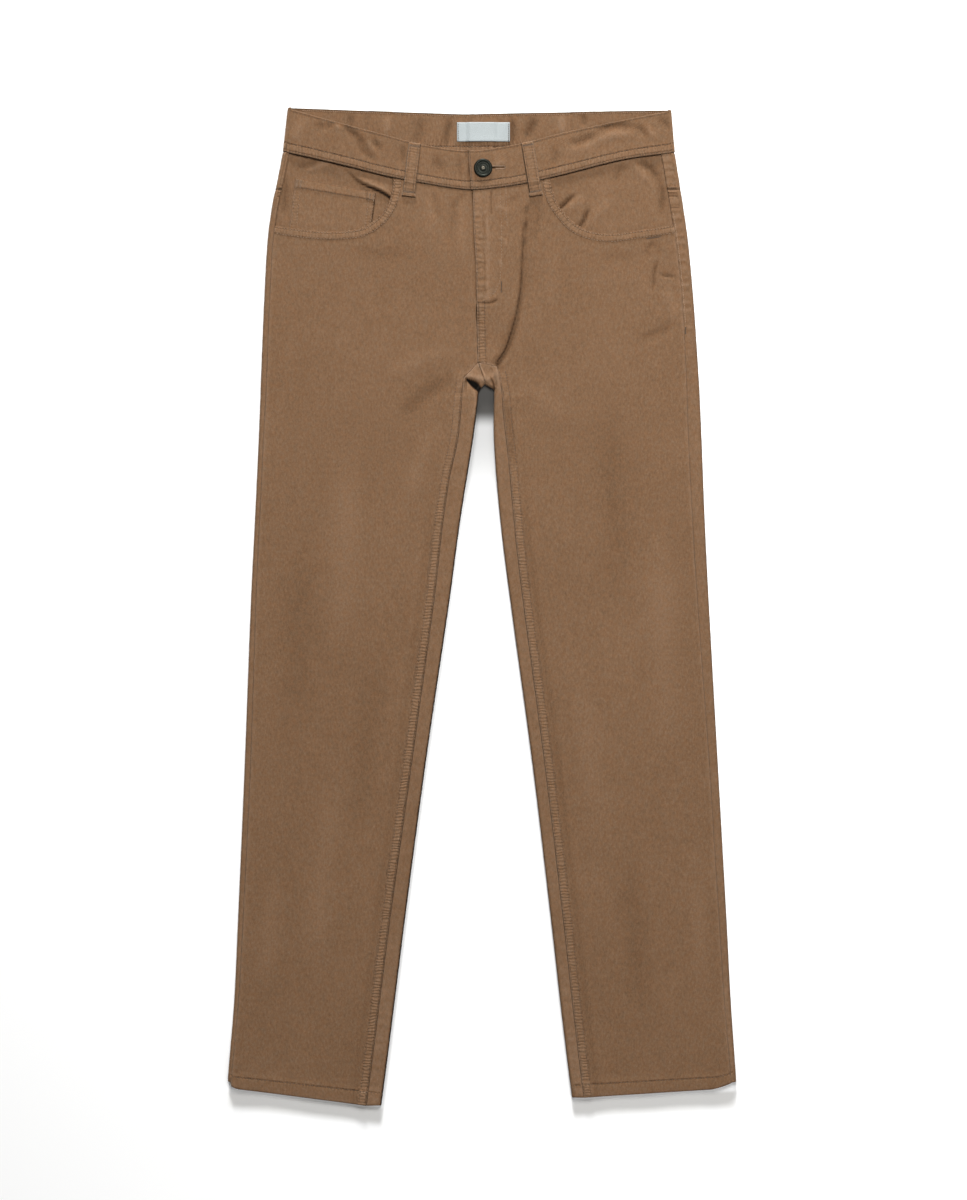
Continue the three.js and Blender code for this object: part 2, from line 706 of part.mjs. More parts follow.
// Height of the crease of the right pocket's facing, which bulges on its upper side.
function pocketBulge(x, drop) {
  const { from, via, to, height, decay } = POCKET_FOLD;
  let best = { distance: Infinity, signed: 0, t: 0 };
  const STEPS = 24;
  for (let i = 0; i <= STEPS; i++) {
    const t = i / STEPS;
    const at = [0, 1].map(
      (k) => (1 - t) ** 2 * from[k] + 2 * t * (1 - t) * via[k] + t ** 2 * to[k],
    );
    const along = [0, 1].map((k) => (1 - t) * (via[k] - from[k]) + t * (to[k] - via[k]));
    const [dx, dy] = [x - at[0], drop - at[1]];
    const distance = Math.hypot(dx, dy);
    const signed = (along[1] * dx - along[0] * dy) / Math.hypot(...along);
    if (distance < best.distance) best = { distance, signed, t };
  }
  const fade = Math.sin(Math.PI * clamp01(best.t * 0.92 + 0.04));
  return height * fade * smooth(-3, 2, best.signed) * Math.exp(-Math.max(0, best.signed) / decay);
}

// Upper face of the cloth that shows inside a pocket's mouth.
function facingHeight(side, x, drop) {
  const sunk = FACING[side].sunk;
  const fromSeam = Math.abs(x - seamX("outer", side, drop));
  const beyond = (x - seamX("outer", side, drop)) * signOf(side) > 0;
  const depth = lerp(CLOTH + GAP, sunk, beyond ? 0 : smooth(0, 9, fromSeam));
  const bulge = side === "right" ? pocketBulge(x, drop) : 0;
  return topHeight(side, x, drop) - depth + bulge;
}
function pocketFacing(side) {
  const { inner, bottom, rows, columns } = FACING[side];
  const sign = signOf(side);
  const places = [];
  for (let i = 0; i <= rows; i++) {
    const t = i / rows;
    places.push([]);
    for (let j = 0; j <= columns; j++) {
      const u = j / columns;
      const top = bandBottom(lerp(inner, seamX("outer", side, 50), u)) + GAP;
      const drop = lerp(top, bottom, t);
      const x = lerp(inner, seamX("outer", side, drop) - sign * 0.4, u);
      const under = isUnderFront(side, x, drop);
      const highest = under ? topHeight(side, x, drop) - CLOTH - GAP : Infinity;
      const height = Math.min(facingHeight(side, x, drop), highest);
      places[i].push(flatPlace(x, drop, height, CLOTH));
    }
  }
  return facingOut(wall(places));
}
const isUnderFront = (side, x, drop) =>
  (x - MOUTH[side][0][0]) * signOf(side) < 6 || drop > 116;

// The small pocket on the right pocket's facing.
function coinPocket() {
  const { topOuter, topInner, bottomInner, bottomOuter, hem } = COIN;
  const long = bottomInner[1] - topInner[1];
  const downs = [0, hem / long, (hem + 1) / long, 0.5, 0.75, 1];
  const places = downs.map((t) =>
    [0, 0.12, 0.3, 0.5, 0.7, 0.88, 1].map((u) => {
      const mix = (k) =>
        lerp(lerp(topOuter[k], bottomOuter[k], t), lerp(topInner[k], bottomInner[k], t), u);
      const [x, drop] = [mix(0), mix(1)];
      const top = facingHeight("right", x, drop) + GAP + PATCH_CLOTH;
      const raise = t > 0 && t <= hem / long ? 0.3 : 0;
      return flatPlace(x, drop, top, PATCH_CLOTH, raise);
    }),
  );
  return facingOut(wall(places));
}

// A patch pocket of the back, pressed flat on the table under the back panel.
function backPocket(side) {
  const sign = signOf(side);
  const { centre, top, width, taper, height, point } = BACK_POCKET;
  const half = width / 2;
  const slope = (YOKE.centre - YOKE.side) / Math.abs(LEG.outerRight(YOKE.side));
  const tilt = (x) => top - slope * (x - centre);
  const outline = [
    [centre - half, tilt(centre - half)],
    [centre + half, tilt(centre + half)],
    [centre + half - taper, tilt(centre + half) + height],
    [centre, tilt(centre) + height + point],
    [centre - half + taper, tilt(centre - half) + height],
  ];
  return prism(outline.map(([x, drop]) => [sign * x, drop]), 0, PATCH_CLOTH);
}

// A belt loop in front, over the waistband and sewn down at both ends.
function frontLoop({ side, top, bottom }) {
  const steps = [0, 0.06, 0.12, 0.3, 0.5, 0.62, 0.7, 0.76, 0.82, 0.9, 1];
  const along = [bottom[0] - top[0], bottom[1] - top[1]];
  const long = Math.hypot(...along);
  const across = [along[1] / long, -along[0] / long];
  const places = steps.map((t) =>
    [-1, -0.75, 0.75, 1].map((u) => {
      const x = lerp(top[0], bottom[0], t) + (u * LOOP_WIDTH * across[0]) / 2;
      const drop = lerp(top[1], bottom[1], t) + (u * LOOP_WIDTH * across[1]) / 2;
      const band = bandHeight(side, x);
      const under = drop < bandBottom(x) + 3 ? band : topHeight(side, x, drop) + 0.1;
      const slack = LOOP_SLACK * Math.sin(Math.PI * t);
      const edge = Math.abs(u) === 1 ? -0.4 : 0;
      return flatPlace(x, drop, Math.max(under, band - 3 * t) + GAP + slack + LOOP_CLOTH, LOOP_CLOTH, edge);
    }),
  );
  return facingOut(wall(places));
}

// A belt loop of the back lies under the waistband, on the table.
function backLoop({ x }) {
  const half = LOOP_WIDTH / 2;
  const outline = [
    [x - half, BAND.backTop(x) + 1],
    [x + half, BAND.backTop(x) + 1],
    [x + half, BACK_LOOP_END],
    [x - half, BACK_LOOP_END],
  ];
  return prism(outline, 0, LOOP_CLOTH);
}

// The closed zip lies beside the under front's edge, beneath the fly.
function zip() {
  const rows = 8;
  const places = [];
  for (let i = 0; i <= rows; i++) {
    const drop = lerp(ZIP.top, ZIP.bottom - 10, i / rows);
    const x = CENTRE.underEdge(Math.min(drop, 195)) + GAP;
    const top = topHeight("right", x, drop);
    places.push([0, 1].map((u) => flatPlace(x + u * ZIP.width, drop, top, CLOTH)));
  }
  return facingOut(wall(places));
}

// The metal button: a dished cap with a rim, on a shank that goes through the buttonhole.
function waistButton() {
  const cap = bandHeight("left", BUTTON.x) + GAP;
  const foot = bandHeight("right", BUTTON.x) + GAP;
  const profile = [
    [0, foot],
    [BUTTON.shank, foot],
    [BUTTON.shank, cap],
    [BUTTON.radius - 0.8, cap],
    [BUTTON.radius, cap + 0.8],
    [BUTTON.radius - 0.1, cap + 1.9],
    [BUTTON.radius - 0.9, cap + 2.6],
    [BUTTON.radius - 1.9, cap + 2.5],
    [BUTTON.radius - 2.5, cap + 1.9],
    [2.4, cap + 1.7],
    [1.9, cap + 2.3],
    [0.9, cap + 2.3],
    [0.6, cap + 1.9],
    [0, cap + 1.9],
  ].map(([r, z]) => new THREE.Vector2(r, z));
  const geometry = new THREE.LatheGeometry(profile, 24);
  return geometry.rotateX(Math.PI / 2).translate(BUTTON.x, yOf(BUTTON.drop), 0);
}

// The label is sewn to the inner face of the waistband at the centre back.
function sizeLabel() {
  const { x, drop, width, height } = LABEL;
  const columns = [-0.5, -0.25, -0.2, -0.13, 0.1, 0.17, 0.22, 0.5];
  const places = [-0.5, 0.5].map((v) =>
    columns.map((u) => {
      const at = x + u * width;
      const base = BAND_CLOTH + Math.max(loopLift(at), loopLift(at * 0.9)) + GAP;
      return flatPlace(at, drop + v * height, base + LABEL_CLOTH, LABEL_CLOTH);
    }),
  );
  return facingOut(wall(places));
}

for (const side of ["right", "left"]) {
  add("front_" + side, frontPanel(side));
  add("back_" + side, backPanel(side));
  add("yoke_" + side, yoke(side));
  add("pocket_facing_" + side, pocketFacing(side));
  add("back_pocket_" + side, backPocket(side));
}
add("coin_pocket", coinPocket());
add("waistband", waistband());
FRONT_LOOPS.forEach((loop) => add(loop.name, frontLoop(loop)));
BACK_LOOPS.forEach((loop) => add(loop.name, backLoop(loop)));
add("zip", zip(), "tape");
add("waist_button", waistButton(), "metal");
add("size_label", sizeLabel(), "label");

// The outline's middle comes to the origin.
const middle = new THREE.Box3().setFromObject(trousers).getCenter(new THREE.Vector3());
trousers.children.forEach(({ geometry }) => geometry.translate(-middle.x, -middle.y, 0));

export default trousers;
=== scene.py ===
import math
from functools import partial

import bpy
import numpy as np
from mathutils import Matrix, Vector


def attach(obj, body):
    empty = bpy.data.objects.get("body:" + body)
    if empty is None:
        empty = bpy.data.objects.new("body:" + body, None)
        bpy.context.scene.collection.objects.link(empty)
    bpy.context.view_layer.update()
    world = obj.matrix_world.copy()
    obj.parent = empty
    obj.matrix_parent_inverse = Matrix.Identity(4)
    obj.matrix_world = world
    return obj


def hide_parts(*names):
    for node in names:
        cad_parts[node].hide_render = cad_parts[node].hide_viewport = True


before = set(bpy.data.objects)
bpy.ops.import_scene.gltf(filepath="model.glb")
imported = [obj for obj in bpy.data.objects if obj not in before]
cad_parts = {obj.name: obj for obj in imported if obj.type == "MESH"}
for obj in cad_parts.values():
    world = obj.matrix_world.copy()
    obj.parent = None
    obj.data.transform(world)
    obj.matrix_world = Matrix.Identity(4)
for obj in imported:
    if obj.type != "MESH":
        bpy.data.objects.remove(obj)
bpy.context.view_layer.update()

bl_info = {
    "name": "Corduroy Trousers",
    "version": (1, 0, 0),
    "blender": (4, 5, 0),
    "location": "View3D > Sidebar > Trousers",
    "description": "Corduroy trousers laid flat, with sewn panels, stitches, button and label",
    "category": "Object",
}

# Sizes below are in millimetres. x is to the viewer's right and a drop is a distance down from
# the top of the waist. Right and left are the wearer's, so the right leg lies at -x.
MM = 0.001
LENGTH = 1060.0
CLOTH = 1.2
BAND_CLOTH = 2.4
PATCH_CLOTH = 1.0
LOOP_CLOTH = 1.4
LABEL_CLOTH = 0.6
GAP = 0.3
SEAM_GAP = 0.06
SOLE = 0.2  # the cloth's pile holds its underside this much off the table
FELL_WIDTH = 9.2
SEAM_RAISE = 0.5
EDGE_REACH = 42.0
HIP_REACH = 110.0
BAND_STEP = 0.6
LOOP_WIDTH = 13.0
LOOP_SLACK = 0.8
HEM_DEPTH = 13.3
HEM_RAISE = 0.5
SIGN = {"right": -1, "left": 1}


def lerp(a, b, t):
    return a + (b - a) * t


def smooth(low, high, value):
    t = np.clip((value - low) / (high - low), 0, 1)
    return t * t * (3 - 2 * t)


def bump(t):
    """1 at nothing, falling smoothly to 0 at 1."""
    return np.where(np.abs(t) < 1, (1 - np.square(t)) ** 2, 0)


def bell(away, width):
    """1 at nothing, falling off to both sides without an end."""
    return np.exp(-np.square(away / width))


def joined(*values):
    """Numbers of one kind each put together as places or directions."""
    return np.stack(np.broadcast_arrays(*values), axis=-1)


def table(columns, rows):
    """One smooth function for each column of a table, by its first column."""
    data = np.array(rows, float)
    keys = data[:, 0]
    before, after = np.clip(np.arange(len(keys)) + [[-1], [1]], 0, len(keys) - 1)
    slopes = (data[after] - data[before]) / (keys[after] - keys[before])[:, None]

    def column(k):
        def read(at):
            at = np.clip(np.asarray(at, float), keys[0], keys[-1])
            i = np.clip(np.searchsorted(keys, at, side="right") - 1, 0, len(keys) - 2)
            span = keys[i + 1] - keys[i]
            t = (at - keys[i]) / span
            ends = (2 * t**3 - 3 * t**2 + 1) * data[i, k] + (3 * t**2 - 2 * t**3) * data[i + 1, k]
            bends = (t**3 - 2 * t**2 + t) * slopes[i, k] + (t**3 - t**2) * slopes[i + 1, k]
            return ends + bends * span

        return read

    return {name: column(k) for k, name in enumerate(columns.split()) if k}


# Each leg's two folded edges, the height of those folds and of the cloth between them
LEG = table("drop outer_right inner_right inner_left outer_left roll mid", [
    (48, -211.5, -3.5, 10.9, 204.6, 7.9, 7.4),
    (81, -217.9, -3.5, 10.9, 209.9, 7.7, 7.3),
    (102, -222.5, -3.5, 10.9, 213.2, 7.5, 7.2),
    (140, -227.6, -3.5, 10.9, 218.6, 7.0, 6.8),
    (204, -231.3, -3.5, 10.9, 224.6, 6.3, 5.5),
    (294, -235.0, -3.5, 12.8, 230.7, 5.9, 4.6),
    (305, -235.3, -3.5, 12.7, 231.2, 5.8, 4.5),
    (353, -237.2, -9.6, 12.6, 233.3, 5.5, 4.1),
    (438, -241.2, -23.0, 19.4, 236.6, 5.4, 3.7),
    (523, -245.4, -34.4, 30.0, 240.8, 5.3, 3.6),
    (693, -251.9, -59.3, 53.1, 250.3, 5.2, 3.5),
    (863, -259.2, -81.9, 73.4, 259.8, 5.2, 3.5),
    (948, -263.2, -92.5, 82.9, 264.2, 5.2, 3.6),
    (1012, -268.4, -100.6, 90.6, 268.6, 5.1, 3.7),
    (1034, -270.0, -103.5, 93.4, 270.0, 5.0, 3.8),
    (1060, -270.0, -106.9, 96.6, 270.0, 5.0, 3.8),
])
# How far inside each folded edge the seam lies
STRIP = table("drop outer_right inner_right inner_left outer_left", [
    (48, 6.6, 17.4, 10.6, 14.5),
    (102, 6.3, 17.4, 10.6, 13.8),
    (204, 6.0, 17.4, 10.6, 12.2),
    (305, 6.0, 17.4, 8.8, 13.5),
    (353, 5.2, 16.2, 13.1, 14.0),
    (395, 5.2, 18.6, 14.7, 13.6),
    (523, 5.5, 16.5, 13.5, 12.0),
    (693, 6.4, 15.0, 13.0, 9.2),
    (863, 5.6, 16.0, 13.0, 8.0),
    (1060, 3.6, 16.0, 12.5, 5.2),
])
# The waistband's edges by x
BAND = table("x back_top front_top front_bottom back_bottom", [
    (-211, 0, 0, 47.5, 47.5),
    (-182, 1.0, 7.9, 53.6, 48),
    (-137, 2.7, 20.2, 64.1, 48.8),
    (-106, 3.9, 28.4, 72.1, 49.5),
    (-60, 5.5, 40.2, 81.2, 50.3),
    (-12, 6.9, 46.0, 87.7, 50.8),
    (21, 6.1, 42.4, 85.0, 50.6),
    (50, 5.4, 36.6, 80.2, 50.1),
    (84, 4.9, 27.6, 72.2, 49.5),
    (149, 3.3, 13.8, 56.0, 48.4),
    (205, 2.8, 2.8, 48.2, 48.2),
])
BAND_FOLD = {"right": (-211.5, -206.2), "left": (204.8, 201.0)}  # x at the bottom and the top
BAND_ROLL = 8.0
BAND_END = {"under": 38.0, "over": -11.5, "slant": -3.3}
ARCH = {  # the top of the gap between the legs, and places on its outline down each side
    "x": 3.0, "drop": 294.2, "height": 10.8,
    "right": [(0.4, 296.6), (-2.9, 301.3)],
    "left": [(7.6, 296.8), (12.0, 299.2), (12.9, 301.4)],
}
ARCH_FOOT = ARCH["drop"] + ARCH["height"]
CROTCH = (-4.0, 271.0)
SADDLE = {"right": (-18.6, 287.0, 278.0), "left": (15.9, 275.5, 274.0)}  # x, drop, outer drop
HEM = {  # the drop of each end, and the rounding of the outer corner on the front and at the fold
    "right": {"outer": 1041.5, "inner": 1060.0, "corner": 2.4, "share": 0.06, "fold": 4.4},
    "left": {"outer": 1041.5, "inner": 1051.5, "corner": 6.0, "share": 0.16, "fold": 0.6},
}
HEM_BLEND = 948.0
HIP_END = 262.0
SEAT_EDGE = 236.0
YOKE = {"side": 87.5, "centre": 110.0}
CENTRE = table("drop left right", [
    (80, -9.8, -1.8),
    (132, -8.6, -0.6),
    (166, -6.4, 1.6),
    (195, -5.8, 2.2),
    (210, -5.3, -5.6),
    (240, -4.8, -5.1),
    (271, -4.0, -4.3),
])
FLY_END = 205.0
FLY_FOLD = table("drop x", [(60, 52), (102, 48.6), (144, 43.4), (203, 38.9), (253, 25.5), (271, 15)])
MOUTH = {
    "right": [(-94, 66), (-95, 85), (-100, 103), (-112, 119), (-133, 130), (-173, 131.6), (-230, 124.6)],
    "left": [(72, 66), (75, 90), (84, 108), (103, 127), (133, 134.4), (167, 130.6), (210, 124.4)],
}
FACING = {  # inner end, bottom, how far its face lies under the front's
    "right": (-76.0, 152.0, 2.8),
    "left": (54.0, 154.0, 1.9),
}
POCKET_FOLD = {
    "path": [(-150, 60), (-140, 69.6), (-132, 77), (-122, 82.6), (-112, 86.6), (-103.5, 90.8), (-96, 95.8)],
    "height": 3.4, "decay": 9.0,
}
COIN = {
    "top": [(-197.7, 74.4), (-112.4, 90.8)], "bottom": [(-205.5, 138), (-119.5, 141)], "hem": 10.0,
    "width": 86.0, "depth": 55.0,
}
BACK_POCKET = {"centre": 100.0, "top": 120.0, "width": 142.0, "taper": 5.0, "height": 128.0, "point": 18.0}
LIFT = {"pocket": PATCH_CLOTH + GAP, "loop": LOOP_CLOTH + GAP}
BACK_LOOPS = {"belt_loop_back_right": -110.0, "belt_loop_centre_back": 0.0, "belt_loop_back_left": 110.0}
BACK_LOOP_END = 60.0
FRONT_LOOPS = {
    "belt_loop_front_right": ("right", (-71.2, 38.2), (-78.1, 95.3)),
    "belt_loop_front_left": ("left", (47.8, 37.4), (57.4, 94.8)),
}
BUTTON = {"x": 1.2, "drop": 65.0, "rim": 9.8}
BUTTONHOLE = {  # its stitched ring, the slit in it and the place where the slit gapes: start, end and width
    "start": 8.0, "end": 23.4, "drop": 64.4, "reach": 1.5,
    "slit": (-2.0, 23.4, 0.6), "gape": (8.5, 14.3, 1.7),
}
LABEL = {"x": 1.5, "drop": 25.9, "width": 56.2, "height": 20.4}

# Creases of the cloth: where each runs, from, by and to, its height (a trough is below 0), the
# width of its soft sides, and on which piece it lies
CREASES = {
    "front_right": [
        ((-60, 92), (-54, 112), (-57, 140), 0.5, 5),
        ((-32, 96), (-30, 118), (-36, 150), -0.5, 5),
        ((-20, 98), (-22, 126), (-19, 170), 0.4, 4),
        ((-14, 92), (-24, 99), (-34, 112), -0.6, 3),
        ((-46, 88), (-50, 100), (-46, 122), -0.6, 4),
        ((-70, 150), (-100, 158), (-150, 152), -0.45, 8),
        ((-24, 285), (-52, 300), (-96, 338), -0.8, 8),
        ((-22, 262), (-60, 268), (-110, 290), 0.5, 10),
        ((-36, 330), (-60, 362), (-84, 430), 0.5, 9),
        ((-140, 330), (-146, 450), (-152, 600), 0.5, 16),
        ((-190, 420), (-196, 560), (-204, 700), -0.5, 18),
        ((-110, 560), (-122, 660), (-135, 800), -0.5, 14),
        ((-160, 700), (-168, 800), (-182, 960), 0.5, 14),
        ((-218, 800), (-224, 860), (-232, 960), 0.4, 9),
    ],
    "front_left": [
        ((176, 141), (186, 150), (187, 163), -0.5, 3.5),
        ((188, 159), (183.5, 174), (181, 201), -1.8, 1.5),
        ((187, 177), (196, 179.4), (207, 180.4), -1.3, 1.3),
        ((184, 144), (176, 151), (178, 163), -0.8, 2.6),
        ((191, 190), (200, 205), (206, 232), 0.6, 6),
        ((206, 226), (188, 240), (160, 249), -0.6, 5),
        ((170, 152), (150, 160), (120, 158), -0.4, 7),
        ((60, 96), (58, 118), (54, 150), -0.7, 4),
        ((42, 90), (36, 98), (24, 104), -0.5, 3.5),
        ((70, 140), (74, 170), (70, 220), 0.4, 8),
        ((24, 300), (29, 345), (34, 400), -1.1, 4.5),
        ((34, 290), (60, 306), (100, 340), 0.4, 10),
        ((130, 300), (140, 420), (146, 560), -0.5, 16),
        ((186, 420), (192, 560), (200, 720), 0.5, 15),
        ((96, 560), (112, 680), (128, 800), 0.45, 14),
        ((150, 760), (160, 860), (172, 990), -0.5, 14),
        ((222, 800), (230, 880), (236, 980), 0.4, 9),
    ],
    "pocket_facing_right": [
        ((-198, 60), (-186, 61), (-170, 55), -0.9, 3.2),
        ((-194, 67), (-178, 64), (-158, 56.5), 0.9, 3.2),
        ((-160, 64), (-146, 72), (-136, 80), 0.5, 5),
        ((-209, 70), (-208, 90), (-210, 122), -1.0, 3.5),
    ],
    "pocket_facing_left": [
        ((74, 116), (88, 102.5), (101, 90), -2.2, 2.0),
        ((88, 112), (98, 104), (112, 92), 0.6, 5),
        ((98, 136), (108, 120.5), (115, 104), -2.0, 2.2),
        ((112, 128), (122, 112), (140, 96), 0.5, 6),
        ((163, 54), (179, 65), (190, 84), -1.3, 4),
        ((156, 58), (166, 66), (176, 82), 0.7, 4),
        ((152, 58), (146, 68), (142, 82), -0.6, 4),
        ((186, 74), (191, 92), (190, 122), -1.2, 3.4),
    ],
    "band_right": [
        ((-182, 21), (-168, 20), (-152, 20), -0.9, 2.6),
        ((-160, 17), (-154, 20), (-150, 27), 0.8, 2.4),
        ((-150, 19), (-133, 31), (-120, 47), -1.5, 3.4),
        ((-136, 36), (-124, 48), (-112, 58), -1.3, 2.6),
        ((-124, 33), (-118, 40), (-113, 52), 0.7, 2.8),
        ((-118, 33), (-112, 40), (-106, 46), -1.3, 2.8),
        ((-84, 38), (-84, 50), (-86, 64), -1.0, 2.4),
        ((-186, 12), (-196, 26), (-200, 40), 0.8, 6),
        ((-54, 54), (-46, 60), (-42, 72), -0.96, 5),
        ((-22, 50), (-24, 62), (-22, 80), -0.8, 2.5),
    ],
    "band_left": [
        ((88, 40), (104, 37), (126, 27), -1.5, 3.6),
        ((116, 27), (142, 20), (168, 22), -1.4, 3.6),
        ((160, 20), (170, 24), (178, 34), -1.3, 3.2),
        ((112, 40), (140, 30), (166, 29), 0.9, 3.4),
        ((168, 22), (178, 26), (186, 37), 0.9, 3.0),
        ((184, 12), (194, 17), (201, 26), -1.0, 4),
        ((74, 40), (78, 52), (76, 66), -0.9, 4),
        ((14, 50), (18, 58), (14, 74), 0.64, 5),
        ((84, 46), (100, 44), (128, 38), 0.64, 5),
    ],
    "band_back": [
        ((-33, 6), (-36, 22), (-42, 48), -1.4, 3.4),
        ((30, 8), (33, 24), (30, 46), -1.6, 3.2),
        ((58, 10), (52, 22), (44, 34), -1.8, 4),
        ((-70, 8), (-66, 22), (-72, 44), -0.8, 5),
        ((-104, 8), (-100, 18), (-104, 30), 0.8, 5),
        ((-136, 6), (-140, 14), (-138, 24), -0.96, 3.5),
        ((88, 6), (84, 16), (86, 30), 0.8, 5),
        ((112, 6), (108, 12), (110, 22), -0.96, 3.5),
    ],
}


def smooth_line(points, spacing=1.5):
    """A smooth curve through a few points, as closely spaced ones."""
    p = np.array(points, float)
    padded = np.vstack([2 * p[0] - p[1], p, 2 * p[-1] - p[-2]])
    out = []
    for a, b, c, d in zip(padded, padded[1:], padded[2:], padded[3:]):
        t = np.linspace(0, 1, max(2, int(np.hypot(*(c - b)) / spacing)), endpoint=False)[:, None]
        out.append(0.5 * (2 * b + (c - a) * t + (2 * a - 5 * b + 4 * c - d) * t**2
                          + (3 * b - a - 3 * c + d) * t**3))
    return np.vstack([*out, p[-1:]])


class Line:
    """A line on the cloth that tells how far off, on which side and how far along a place is."""

    def __init__(self, points):
        self.points = np.array(points, float)
        self.steps = np.diff(self.points, axis=0)
        self.sizes = np.maximum(np.hypot(*self.steps.T), 1e-9)
        self.starts = np.concatenate([[0], np.cumsum(self.sizes)[:-1]])
        self.length = self.sizes.sum()

    def near(self, x, drop, reach=25.0):
        """Distance, above 0 on one side, how far along, and the nearest place, within reach."""
        x, drop = np.broadcast_arrays(np.asarray(x, float), np.asarray(drop, float))
        distance, along = np.full(x.shape, 1e6), np.zeros(x.shape)
        nearest = joined(x, drop).astype(float)
        low, high = self.points.min(axis=0) - reach, self.points.max(axis=0) + reach
        here = (x > low[0]) & (x < high[0]) & (drop > low[1]) & (drop < high[1])
        if not here.any():
            return distance, along, nearest
        place = joined(x[here], drop[here])
        offset = place[:, None] - self.points[None, :-1]
        t = np.clip((offset * self.steps).sum(-1) / self.sizes**2, 0, 1)
        away = offset - t[..., None] * self.steps
        far = np.hypot(away[..., 0], away[..., 1])
        best = far.argmin(axis=1)
        rows = np.arange(len(best))
        step, off = self.steps[best], offset[rows, best]
        sign = np.where(step[:, 1] * off[:, 0] - step[:, 0] * off[:, 1] >= 0, 1, -1)
        distance[here] = far[rows, best] * sign
        along[here] = self.starts[best] + t[rows, best] * self.sizes[best]
        nearest[here] = place - away[rows, best]
        return distance, along, nearest

    def at(self, along):
        """Places and directions at distances along the line."""
        ends = np.append(self.starts, self.length)
        spots, ahead, behind = (joined(*(np.interp(along + off, ends, values) for values in self.points.T))
                                for off in (0, 0.5, -0.5))
        way = ahead - behind
        return spots, way / np.maximum(np.hypot(*way.T)[:, None], 1e-9)

    def beside(self, offset):
        """The line moved sideways, to the side where near counts distances above 0."""
        way = np.gradient(self.points, axis=0)
        way /= np.maximum(np.hypot(*way.T)[:, None], 1e-9)
        return Line(self.points + offset * joined(way[:, 1], -way[:, 0]))


def creases(name, x, drop):
    """Height that the creases of a piece add."""
    height = np.zeros(np.shape(x))
    for start, via, end, rise, width in CREASES[name]:
        line = Line(smooth_line([start, via, end], 3))
        distance, along, _ = line.near(x, drop, 3 * width)
        ends = smooth(0, 0.35, along / line.length) * smooth(1, 0.65, along / line.length)
        height += rise * ends * bell(distance, width)
    return height


def ripple(along, seed, wave=11.0):
    """Uneven soft waves along a seam, from -1 to 1."""
    turn = along * 2 * math.pi / wave
    slow = np.sin(turn + seed) + 0.6 * np.sin(turn * 1.37 + 2.1 * seed)
    return (slow + 0.4 * np.sin(turn * 0.61 + 5 * seed)) / 2


def undulation(x, drop):
    """The slow unevenness of cloth that lies on cloth."""
    broad = np.sin(x / 31 + 0.7) * np.sin(drop / 83 + 1.3) + 0.6 * np.sin(x / 17 + drop / 61)
    return 0.16 * broad + 0.08 * np.sin(x / 9.5 + 1.9) * np.sin(drop / 27 + 0.4)


def y_of(drop):
    return LENGTH / 2 - drop


def leg(edge, side, drop):
    """x of a leg's outer or inner folded edge."""
    return LEG[f"{edge}_{side}"](drop)


def seam_x(edge, side, drop):
    """x of the seam where a front ends, inside a folded edge."""
    inward = -SIGN[side] * (1 if edge == "outer" else -1)
    return leg(edge, side, drop) + inward * STRIP[f"{edge}_{side}"](drop)


def band_height(side, x):
    """Height of the waistband's upper face, without its fine relief."""
    full = bump((x - BAND_FOLD[side][0]) / EDGE_REACH)
    if side == "right":
        return 7.4 + 0.6 * full - 0.8 * smooth(-70, -25, x)
    return 7.6 + 0.4 * full + 1.7 * (1 - smooth(45, 95, x))


def fly_lift(x, drop):
    """How much the fly's flap and the ridge along its folded edge stand above the front."""
    inside = FLY_FOLD["x"](drop) - x
    flap = 2 * (1 - smooth(204, 262, drop))
    ridge = 2.2 * smooth(90, 240, drop) * (1 - smooth(262, 285, drop))
    return smooth(-4, 1, inside) * (flap + ridge * np.exp(-np.maximum(0, inside) / 14))


def top_height(side, x, drop):
    """Height of the garment's upper face, without its fine relief."""
    outer = bump((x - leg("outer", side, drop)) / EDGE_REACH)
    inner_edge = np.where(drop > ARCH_FOOT, leg("inner", side, drop), ARCH["x"])
    inner = bump((x - inner_edge) / EDGE_REACH) * smooth(230, 290, drop)
    mid = LEG["mid"](drop)
    leg_top = mid + (LEG["roll"](drop) - mid) * np.maximum(outer, inner)
    hip = bump(np.maximum(0, drop - BAND["front_bottom"](x)) / HIP_REACH)
    lift = fly_lift(x, drop) * (1 - hip) if side == "left" else 0
    return lerp(leg_top, band_height(side, x) - BAND_STEP, hip) + lift


def hem_bend(side, share):
    """How far a hem's end lies below the straight line between its rounded corner and its inner corner."""
    hem = HEM[side]
    straight = lerp(hem["outer"], hem["inner"], share)
    chord = lerp(hem["outer"] - hem["corner"], hem["inner"], share)
    return straight - hem["corner"] * (1 - np.clip(share / hem["share"], 0, 1)) ** 2 - chord


def hem_drop(side, x):
    """The drop of a leg's end by x."""
    share = (x - leg("outer", side, 1040)) / (leg("inner", side, 1050) - leg("outer", side, 1040))
    share = np.clip(share, 0, 1)
    return lerp(HEM[side]["outer"] - HEM[side]["corner"], HEM[side]["inner"], share) + hem_bend(side, share)


def inner_x(side, drop):
    """The front's inner edge: the centre seam, the saddle over the fork, then the inner seam."""
    x, saddle_drop, _ = SADDLE[side]
    ends = [CROTCH[0], x, seam_x("inner", side, ARCH_FOOT)]
    saddle = np.interp(drop, [CROTCH[1], saddle_drop, ARCH_FOOT], ends)
    low = np.where(drop < ARCH_FOOT, saddle, seam_x("inner", side, drop))
    return np.where(drop <= CROTCH[1], CENTRE[side](drop), low)


